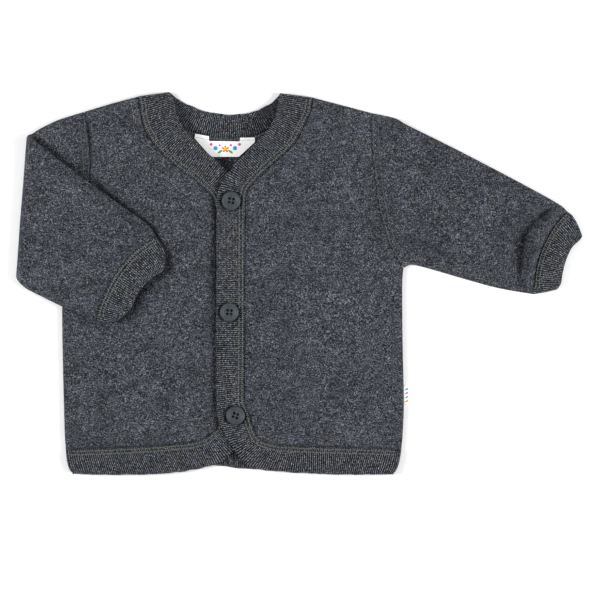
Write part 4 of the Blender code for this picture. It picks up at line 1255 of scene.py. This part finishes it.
def slab(outline, low, thick):
    """Points and faces of a flat body: its outline at two heights, drawn in a little at the top."""
    outline = np.array(outline, float)
    middle = outline.mean(axis=0)
    toward = middle - outline
    drawn_in = outline + 0.12 * toward / np.hypot(*toward.T)[:, None]
    levels = [(outline, 0.0), (outline, thick - 0.1), (drawn_in, thick)]
    count = len(outline)
    points = np.concatenate([with_height(flat, np.full(count, low + z)) for flat, z in levels])
    faces = [list(range(count))[::-1], [2 * count + n for n in range(count)]]
    for low_ring, high_ring in ((0, count), (count, 2 * count)):
        for n in range(count):
            m = (n + 1) % count
            faces.append([low_ring + n, low_ring + m, high_ring + m, high_ring + n])
    return points, faces


def gathered_up(bodies):
    points, faces, start = [], [], 0
    for some, sides in bodies:
        points.append(some)
        faces += [[corner + start for corner in side] for side in sides]
        start += len(some)
    return np.concatenate(points), faces


def label_tilt(points):
    """The label hangs from its top edge, and its lower edge stands off the cloth."""
    lifted = points.copy()
    lifted[:, 2] += 0.9 * (1 - smooth_step(points[:, 1], 238.0, 251.0))
    return lifted


def make_label(ribbon):
    main = slab(LABEL_MAIN, LABEL_Z, LABEL_THICK)
    folds = [slab(outline, LABEL_Z + low, LABEL_THICK + low) for low, outline in LABEL_FOLDS]
    points, faces = gathered_up([main, *folds])
    made = piece_from("neck_label_ribbon", label_tilt(points), faces, ribbon)
    made.data.set_sharp_from_angle(angle=math.radians(30))
    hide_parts("neck_label")
    return made


def make_design(name, spots, height, tilt, colours):
    """The woven spots of a ribbon's design, just proud of its face at height, a mesh a colour."""
    made = []
    for colour, finish in colours.items():
        bodies = []
        for spot in (spot for spot in spots if spot.colour == colour):
            angle = np.radians(np.arange(0, 360, 20))
            turn = math.radians(spot.turn)
            x, y = spot.wide * np.cos(angle), spot.long * np.sin(angle)
            across = spot.across + x * math.cos(turn) - y * math.sin(turn)
            up = spot.up + x * math.sin(turn) + y * math.cos(turn)
            points, faces = slab(np.stack([across, up], axis=1), height - SPOT_SUNK, SPOT_THICK)
            bodies.append((tilt(points), faces))
        if bodies:
            points, faces = gathered_up(bodies)
            made.append(piece_from(f"{name}_{colour}", points, faces, finish))
    return made


def make_tab(ribbon):
    """A loop of ribbon, its two ends caught in the side seam."""
    bend = np.radians(np.linspace(-90, 90, 9))
    middle = np.array([TAB_OUTER - TAB_BEND, TAB_LOW + TAB_BEND])
    skins = []
    for radius in (TAB_BEND, TAB_BEND - TAB_THICK):
        low, high = middle[1] - radius, middle[1] + radius
        turned_end = middle + radius * np.stack([np.cos(bend), np.sin(bend)], axis=1)
        skins.append(np.vstack([(TAB_INNER, low), turned_end, (TAB_INNER, high)]))
    profile = np.vstack([skins[0], skins[1][::-1]])
    up = np.linspace(53.0, 66.5, 28)
    sway = 0.18 * np.sin(up * 0.9)
    across, height = profile.T
    free = across > 129.0  # the seam holds the rest still
    rings = np.stack([
        np.stack([across + push * free, 0 * across + y, height], axis=1) for y, push in zip(up, sway)
    ])
    made = loft("side_tab_ribbon", rings, ribbon)
    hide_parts("side_tab")
    return made


# ---- materials -------------------------------------------------------------------------------------


def linear(colour):
    """A sRGB hex colour as linear red, green, blue and alpha."""
    parts = [int(colour[n:n + 2], 16) / 255 for n in (1, 3, 5)]
    return [p / 12.92 if p <= 0.04045 else ((p + 0.055) / 1.055) ** 2.4 for p in parts] + [1.0]


def node(tree, kind, links=None, ramp=None, **settings):
    """Adds a node. links gives each input a value, or another node's output to read."""
    made = tree.nodes.new(kind)
    for name, value in settings.items():
        setattr(made, name, value)
    if ramp:
        elements = made.color_ramp.elements
        while len(elements) < len(ramp):
            elements.new(1.0)
        for element, (place, colour) in zip(elements, ramp):
            element.position, element.color = place, colour
    for name, value in (links or {}).items():
        if isinstance(value, bpy.types.NodeSocket):
            tree.links.new(value, made.inputs[name])
        else:
            made.inputs[name].default_value = value
    return made


def blank(name, **sockets):
    """A material with a Principled shader, and its node tree and shader."""
    made = bpy.data.materials.new(name)
    made.use_nodes = True
    tree = made.node_tree
    shader = tree.nodes["Principled BSDF"]
    for socket, value in sockets.items():
        shader.inputs[socket.replace("_", " ")].default_value = value
    return made, tree, shader


def grey(value):
    return [value, value, value, 1.0]


def millimetres(tree, stretch=(1, 1, 1), turn=0.0):
    """The piece's own coordinates in millimetres, turned and then scaled."""
    place = node(tree, "ShaderNodeTexCoord").outputs["Object"]
    return node(tree, "ShaderNodeMapping", {
        "Vector": place,
        "Rotation": (0, 0, math.radians(turn)),
        "Scale": [1000 * s for s in stretch],
    }).outputs["Vector"]


def noise(tree, place, size, detail, rough=0.6, distortion=0.0):
    """Noise whose largest features are about size mm across."""
    return node(tree, "ShaderNodeTexNoise", {
        "Vector": place, "Scale": 1 / size, "Detail": detail, "Roughness": rough,
        "Distortion": distortion,
    }).outputs["Fac"]


def maths(tree, operation, first, second, third=0.5):
    made = node(tree, "ShaderNodeMath", {0: first, 1: second, 2: third}, operation=operation)
    return made.outputs[0]


def blended(tree, share, first, second, kind="MIX"):
    made = node(tree, "ShaderNodeMix", data_type="RGBA", blend_type=kind)
    for index, value in ((0, share), (6, first), (7, second)):
        if isinstance(value, bpy.types.NodeSocket):
            tree.links.new(value, made.inputs[index])
        else:
            made.inputs[index].default_value = value
    return made.outputs[2]


def melange(tree, place, sizes):
    """Wool of several greys carded together: (size in mm, strength) of each scale of mottling."""
    mixed = 0.5
    for size, strength in sizes:
        layer = maths(tree, "MULTIPLY", maths(tree, "SUBTRACT", noise(tree, place, size, 0.0), 0.5),
                      strength)
        mixed = maths(tree, "ADD", layer, mixed)
    return mixed


def fibres(tree, turn, seed):
    """Fine stray hairs lying one way: 1 on a hair, and mostly 0."""
    place = millimetres(tree, (0.42, 2.1, 1.0), turn)
    place = node(tree, "ShaderNodeVectorMath", {0: place, 1: (seed, 3 * seed, 0)},
                 operation="ADD").outputs[0]
    hairs = noise(tree, place, 2.2, 1.0, 0.5, 0.9)
    return node(tree, "ShaderNodeValToRGB", {"Fac": hairs},
                ramp=[(0.60, grey(0)), (0.72, grey(1))]).outputs["Color"]


# Size in mm and strength of each scale of the fleece's mottling.
TUFTS = [(0.8, 0.98), (1.7, 0.27), (3.6, 0.17), (8.0, 0.10), (22.0, 0.09)]


def make_wool_fleece():
    # Boiled wool fleece, knitted, felted and lightly raised. The eye reads a soft, dull cloth with a
    # salt-and-pepper grain, blue-grey beside warmer near-black, and a pale bloom where the nap is
    # seen edge on. The finest tufts, about 0.4 mm across, are drawn coarser, at 0.8 mm, and so are
    # the stray hairs, or neither would show.
    made, tree, shader = blank(
        "wool_fleece", Roughness=0.95, IOR=1.5, Sheen_Weight=0.08, Sheen_Roughness=0.5,
        Sheen_Tint=linear("#AEB6C4"), Specular_IOR_Level=0.25,
    )
    place = millimetres(tree)
    tufts = melange(tree, place, TUFTS)
    colour = node(tree, "ShaderNodeValToRGB", {"Fac": tufts}, ramp=[
        (0.22, linear("#151617")), (0.36, linear("#292A2D")), (0.50, linear("#3E4146")),
        (0.64, linear("#5A5D62")), (0.80, linear("#878991")),
    ]).outputs["Color"]
    cast = noise(tree, place, 2.6, 2.0, 0.6)
    warm = node(tree, "ShaderNodeValToRGB", {"Fac": cast},
                ramp=[(0.38, linear("#FFF9F2")), (0.64, linear("#E6EEFB"))]).outputs["Color"]
    colour = blended(tree, 1.0, colour, warm, "MULTIPLY")
    for turn, seed in ((18, 11.0), (77, 23.0), (-42, 37.0)):
        hairs = fibres(tree, turn, seed)
        share = maths(tree, "MULTIPLY", hairs, 0.3)
        colour = blended(tree, share, colour, linear("#70757E"))
    tree.links.new(colour, shader.inputs["Base Color"])
    rough = noise(tree, place, 0.8, 1.0)
    height = maths(tree, "ADD", tufts, maths(tree, "MULTIPLY", rough, 0.35))
    bump = node(tree, "ShaderNodeBump", {"Height": height, "Strength": 0.7, "Distance": 0.0011})
    tree.links.new(bump.outputs["Normal"], shader.inputs["Normal"])
    return made


def make_wool_rib():
    # Fine 1 x 1 rib of the same wool, unfelted. Each modelled rib carries its wale of loops, two
    # slanting strands to a loop. Real loops are about 0.6 mm high: they are drawn coarser, at
    # 1.15 mm, or they would not show. The eye reads crisp light strands over nearly black furrows,
    # a little broken up by the yarn's own mottling. The near-black of the furrows and of the gaps
    # between the strands is painted shade, and the colour is also darkened a little beside the
    # coverstitch: partly the pressed knit's own tone, partly painted shade under its threads.
    made, tree, shader = blank(
        "wool_rib_knit", Roughness=0.9, IOR=1.5, Sheen_Weight=0.15, Sheen_Roughness=0.5,
        Sheen_Tint=linear("#AEB6C4"), Specular_IOR_Level=0.25,
    )
    place = millimetres(tree)
    knit = node(tree, "ShaderNodeUVMap", uv_map="knit").outputs["UV"]
    apart = node(tree, "ShaderNodeSeparateXYZ", {"Vector": knit})
    wale = maths(tree, "FRACT", maths(tree, "DIVIDE", apart.outputs["X"], RIB_PITCH), 0.0)
    beside_middle = maths(tree, "ABSOLUTE", maths(tree, "SUBTRACT", wale, 0.5), 0.0)
    course = maths(tree, "DIVIDE", apart.outputs["Y"], COURSE)
    slant = maths(tree, "ADD", course, maths(tree, "MULTIPLY", beside_middle, 1.7))
    strand = maths(tree, "PINGPONG", slant, 0.5)
    loop = node(tree, "ShaderNodeCombineXYZ", {
        "X": maths(tree, "FLOOR", maths(tree, "DIVIDE", apart.outputs["X"], RIB_PITCH / 2), 0.0),
        "Y": maths(tree, "FLOOR", maths(tree, "MULTIPLY", slant, 2.0), 0.0),
    }).outputs["Vector"]
    shade = node(tree, "ShaderNodeTexWhiteNoise", {"Vector": loop}, noise_dimensions="2D")
    shade = maths(tree, "MULTIPLY", maths(tree, "SUBTRACT", shade.outputs["Value"], 0.5), 0.42)
    # ridge falls to 0 at each furrow, and loops falls to nearly 0 between the strands: through the
    # ramp below, this paints shade there
    ridge = maths(tree, "SUBTRACT", 1.0, maths(tree, "MULTIPLY", beside_middle, 2.1))
    ridge = maths(tree, "MAXIMUM", ridge, 0.0)
    uneven = maths(tree, "SUBTRACT", noise(tree, place, 0.95, 1.0, 0.7, 0.4), 0.5)
    loops = maths(tree, "MULTIPLY", maths(tree, "ADD", maths(tree, "MULTIPLY", strand, 1.6), 0.15),
                  ridge)
    mixed = maths(tree, "ADD", maths(tree, "ADD", maths(tree, "MULTIPLY", loops, 0.8), shade),
                  maths(tree, "MULTIPLY", uneven, 0.95))
    # The ramp's near-black low end is painted shade, in the furrows and between the strands
    colour = node(tree, "ShaderNodeValToRGB", {"Fac": mixed}, ramp=[
        (0.00, linear("#0D0E0E")), (0.22, linear("#2E3033")), (0.42, linear("#5C5F64")),
        (0.62, linear("#93969E")), (0.90, linear("#D0D4DB")),
    ]).outputs["Color"]
    # Up to 8% darker within about 5 mm of the seam, under the coverstitch: partly the pressed knit's
    # own tone, partly painted shade under the threads
    pressed = node(tree, "ShaderNodeMapRange", {
        "Value": apart.outputs["Y"], "From Min": 4.7, "From Max": 5.8, "To Min": 0.92,
    }).outputs["Result"]
    colour = blended(tree, 1.0, colour, pressed, "MULTIPLY")
    cast = noise(tree, place, 3.0, 2.0, 0.6)
    warm = node(tree, "ShaderNodeValToRGB", {"Fac": cast},
                ramp=[(0.40, linear("#FFF8EE")), (0.62, linear("#EAF1FF"))]).outputs["Color"]
    colour = blended(tree, 1.0, colour, warm, "MULTIPLY")
    tree.links.new(colour, shader.inputs["Base Color"])
    bump = node(tree, "ShaderNodeBump", {"Height": loops, "Strength": 0.7, "Distance": 0.0004})
    tree.links.new(bump.outputs["Normal"], shader.inputs["Normal"])
    return made


def make_thread(name, colour):
    # Spun polyester sewing thread: two plies twisted together, which show as fine slanting bands
    # with a slight lustre. The plies, about 0.3 mm apart, are drawn coarser, at 0.6 mm.
    made, tree, shader = blank(name, Roughness=0.65, IOR=1.5, Sheen_Weight=0.1)
    plies = node(tree, "ShaderNodeTexWave", {
        "Vector": millimetres(tree, turn=35), "Scale": 0.5, "Distortion": 1.5, "Detail": 1.0,
    }).outputs["Fac"]
    between_plies = [0.45 * part for part in linear(colour)[:3]] + [1.0]
    tint = node(tree, "ShaderNodeValToRGB", {"Fac": plies},
                ramp=[(0.1, between_plies), (0.6, linear(colour))]).outputs["Color"]
    tree.links.new(tint, shader.inputs["Base Color"])
    bump = node(tree, "ShaderNodeBump", {"Height": plies, "Strength": 0.5, "Distance": 0.0002})
    tree.links.new(bump.outputs["Normal"], shader.inputs["Normal"])
    return made


def make_button_plastic():
    # Polyester resin cast in sheet, turned and tumbled matt. The eye reads a cool slate disc with
    # a faint cloudiness in its colour and a soft, broad highlight along its rim.
    made, tree, shader = blank("matt_button_resin", Roughness=0.5, IOR=1.54, Specular_IOR_Level=0.4)
    place = millimetres(tree)
    cloud = noise(tree, place, 4.0, 3.0, 0.5)
    colour = node(tree, "ShaderNodeValToRGB", {"Fac": cloud}, ramp=[
        (0.35, linear("#363C40")), (0.65, linear("#41484D")),
    ]).outputs["Color"]
    tree.links.new(colour, shader.inputs["Base Color"])
    dust = noise(tree, place, 0.5, 2.0, 0.6)
    worn = node(tree, "ShaderNodeMapRange", {"Value": dust, "To Min": 0.42, "To Max": 0.6})
    tree.links.new(worn.outputs["Result"], shader.inputs["Roughness"])
    bump = node(tree, "ShaderNodeBump", {"Height": dust, "Strength": 0.15, "Distance": 0.0001})
    tree.links.new(bump.outputs["Normal"], shader.inputs["Normal"])
    return made


def make_ribbon(name, colour, shade):
    # Satin-woven polyester label ribbon, made of 0.1 mm threads. They are drawn coarser, at 0.5 mm,
    # and give the ribbon a faint cross grain and a little lustre.
    made, tree, shader = blank(name, Roughness=0.55, IOR=1.5, Sheen_Weight=0.15)
    weft = node(tree, "ShaderNodeTexWave", {
        "Vector": millimetres(tree, turn=90), "Scale": 0.63, "Distortion": 0.8, "Detail": 2.0,
    }).outputs["Fac"]
    warp = noise(tree, millimetres(tree, (2.5, 0.35, 1.0)), 1.0, 2.0, 0.6)
    grain = maths(tree, "ADD", maths(tree, "MULTIPLY", weft, 0.5),
                  maths(tree, "MULTIPLY", warp, 0.5))
    tint = node(tree, "ShaderNodeValToRGB", {"Fac": grain},
                ramp=[(0.2, linear(shade)), (0.6, linear(colour))]).outputs["Color"]
    tree.links.new(tint, shader.inputs["Base Color"])
    bump = node(tree, "ShaderNodeBump", {"Height": grain, "Strength": 0.3, "Distance": 0.0002})
    tree.links.new(bump.outputs["Normal"], shader.inputs["Normal"])
    return made


# ---- floor, light and camera -----------------------------------------------------------------------


FLOOR_REACH = 6.0
FLOOR_Z = -0.0004  # just clear of the cloth


def make_floor():
    # Matt painted board: plain and pale, with nothing to draw the eye.
    made, tree, shader = blank("pale_matt_floor", Roughness=0.9, IOR=1.45, Specular_IOR_Level=0.2)
    faint = noise(tree, millimetres(tree), 60.0, 2.0)
    colour = node(tree, "ShaderNodeValToRGB", {"Fac": faint},
                  ramp=[(0.3, linear("#F3F3F3")), (0.7, linear("#F6F6F6"))]).outputs["Color"]
    tree.links.new(colour, shader.inputs["Base Color"])
    mesh = bpy.data.meshes.new("floor")
    corners = [(x * FLOOR_REACH, y * FLOOR_REACH, FLOOR_Z)
               for x, y in ((-1, -1), (1, -1), (1, 1), (-1, 1))]
    mesh.from_pydata(corners, [], [(0, 1, 2, 3)])
    mesh.materials.append(made)
    floor = bpy.data.objects.new("floor", mesh)
    bpy.context.scene.collection.objects.link(floor)


Lamp = namedtuple("Lamp", "name place size power")  # metres and watts
LAMPS = [
    Lamp("left_softbox", (-1.5, 0.1, 1.05), 0.7, 28.0),
    Lamp("right_softbox", (1.5, -0.25, 1.05), 0.7, 31.0),
    Lamp("overhead_softbox", (0.0, 0.2, 2.6), 1.6, 8.0),
]
SKY = 0.37  # the room's own even light
CONTRAST = 0.88  # a camera's usual contrast curve; 1 would show the bare colours


def make_light():
    for lamp in LAMPS:
        light = bpy.data.lights.new(lamp.name, "AREA")
        light.size, light.energy = lamp.size, lamp.power
        made = bpy.data.objects.new(lamp.name, light)
        made.location = lamp.place
        made.rotation_mode = "QUATERNION"
        made.rotation_quaternion = (-Vector(lamp.place)).to_track_quat("-Z", "Y")
        made.visible_camera = False
        bpy.context.scene.collection.objects.link(made)
    world = bpy.data.worlds.new("studio")
    world.use_nodes = True
    sky = world.node_tree.nodes["Background"]
    sky.inputs["Color"].default_value = grey(1.0)
    sky.inputs["Strength"].default_value = SKY
    bpy.context.scene.world = world
    bpy.context.scene.view_settings.view_transform = "Standard"
    bpy.context.scene.view_settings.look = "None"
    bpy.context.scene.view_settings.gamma = CONTRAST


VIEW_WIDTH = 0.450  # metres that the camera takes in, measured on the cloth
CLOTH_Z = 0.004
VIEW_MIDDLE = (0.000475, -0.01245)
LENS, SENSOR = 200.0, 36.0


def make_camera():
    camera = bpy.data.cameras.new("overhead")
    camera.lens, camera.sensor_width = LENS, SENSOR
    camera.clip_end = 20.0
    made = bpy.data.objects.new("overhead", camera)
    made.location = (*VIEW_MIDDLE, VIEW_WIDTH * LENS / SENSOR + CLOTH_Z)
    bpy.context.scene.collection.objects.link(made)
    bpy.context.scene.camera = made


# ---- the jacket ------------------------------------------------------------------------------------

Cut = namedtuple("Cut", "wide long area held")


BINDING_NODES = {  # the solids that each strip of binding stands for
    "left_binding_rib": ("neck_band_left", "front_band_left", "hem_band_left"),
    "right_binding_rib": ("neck_band_right", "front_band_right", "hem_band_right"),
    "back_neck_rib": ("neck_band_back",),
    "back_hem_rib": ("hem_band_back",),
}


def main():
    fleece, rib = make_wool_fleece(), make_wool_rib()
    seam_thread = make_thread("seam_thread", "#6D716D")
    topstitch_thread = make_thread("topstitch_thread", "#646866")
    button_thread = make_thread("button_thread", "#3C4145")
    resin = make_button_plastic()
    ribbon = make_ribbon("woven_label_ribbon", "#FFFFFF", "#F6F6F4")
    colours = {
        "orange": make_ribbon("label_thread_orange", "#F5932A", "#D97A14"),
        "yellow": make_ribbon("label_thread_yellow", "#F7DC35", "#DDBF20"),
        "green": make_ribbon("label_thread_green", "#6BBE3A", "#4D9D28"),
        "cyan": make_ribbon("label_thread_cyan", "#2EB0E4", "#1A8CC4"),
        "pink": make_ribbon("label_thread_pink", "#EC5BAA", "#CF3C8E"),
    }

    back = make_back(fleece)
    fronts = {front.side: make_front(front, fleece) for front in FRONTS}
    sleeves = {"left": make_left_sleeve(fleece), "right": make_right_sleeve(fleece)}
    cuffs = {cuff.side: make_cuff(cuff, rib) for cuff in CUFFS}

    bindings, seams = {}, {}
    for (name, nodes), strip in zip(BINDING_NODES.items(), binding_strips()):
        made, seam, edge = make_binding(name, strip, rib, nodes)
        under, needles = (back, (-1.1,)) if name == "back_neck_rib" else (made, NEEDLES)
        stitches = make_binding_stitches(name.replace("_rib", "_coverstitch"), under, seam, edge,
                                         seam_thread, needles)
        bindings[name], seams[name] = made, stitches
    for cuff in CUFFS:
        seams[cuff.side] = make_cuff_stitches(cuff, cuffs[cuff.side], seam_thread)
    armholes = {"left": LEFT_ARMHOLE, "right": RIGHT_ARMHOLE[::-1]}
    armhole_seams = {
        side: make_armhole_stitches(side, armhole, sleeves[side], topstitch_thread)
        for side, armhole in armholes.items()
    }

    buttons = [make_button(button, resin) for button in BUTTONS]
    threads = [make_button_thread(button, button_thread) for button in BUTTONS]
    label, tab = make_label(ribbon), make_tab(ribbon)
    label_face, tab_face = LABEL_Z + LABEL_THICK, TAB_LOW + 2 * TAB_BEND
    flowers = make_design("neck_label", FLOWER_DESIGN, label_face, label_tilt, colours)
    spots = make_design("side_tab", TAB_DESIGN, tab_face, lambda points: points, colours)

    left, right = bindings["left_binding_rib"], bindings["right_binding_rib"]
    neck, hem = bindings["back_neck_rib"], bindings["back_hem_rib"]
    lying_on = [  # (sheet, the sheets that it rests on, what is sewn on it)
        (back, [], []), (neck, [], [seams[neck.name]]), (hem, [], [seams[hem.name]]),
        (fronts["right"], [back], []), (fronts["left"], [back], [tab, *spots]),
        (right, [back], [seams[right.name]]), (left, [back, right], [seams[left.name]]),
        (sleeves["left"], [], [armhole_seams["left"]]), (cuffs["left"], [], [seams["left"]]),
        (sleeves["right"], [fronts["right"]], [armhole_seams["right"]]),
        (cuffs["right"], [fronts["right"]], [seams["right"]]), (label, [back], flowers),
    ]
    for piece, under, sewn_on in lying_on:
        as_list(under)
        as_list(sewn_on)


main()
make_floor()
make_light()
make_camera()
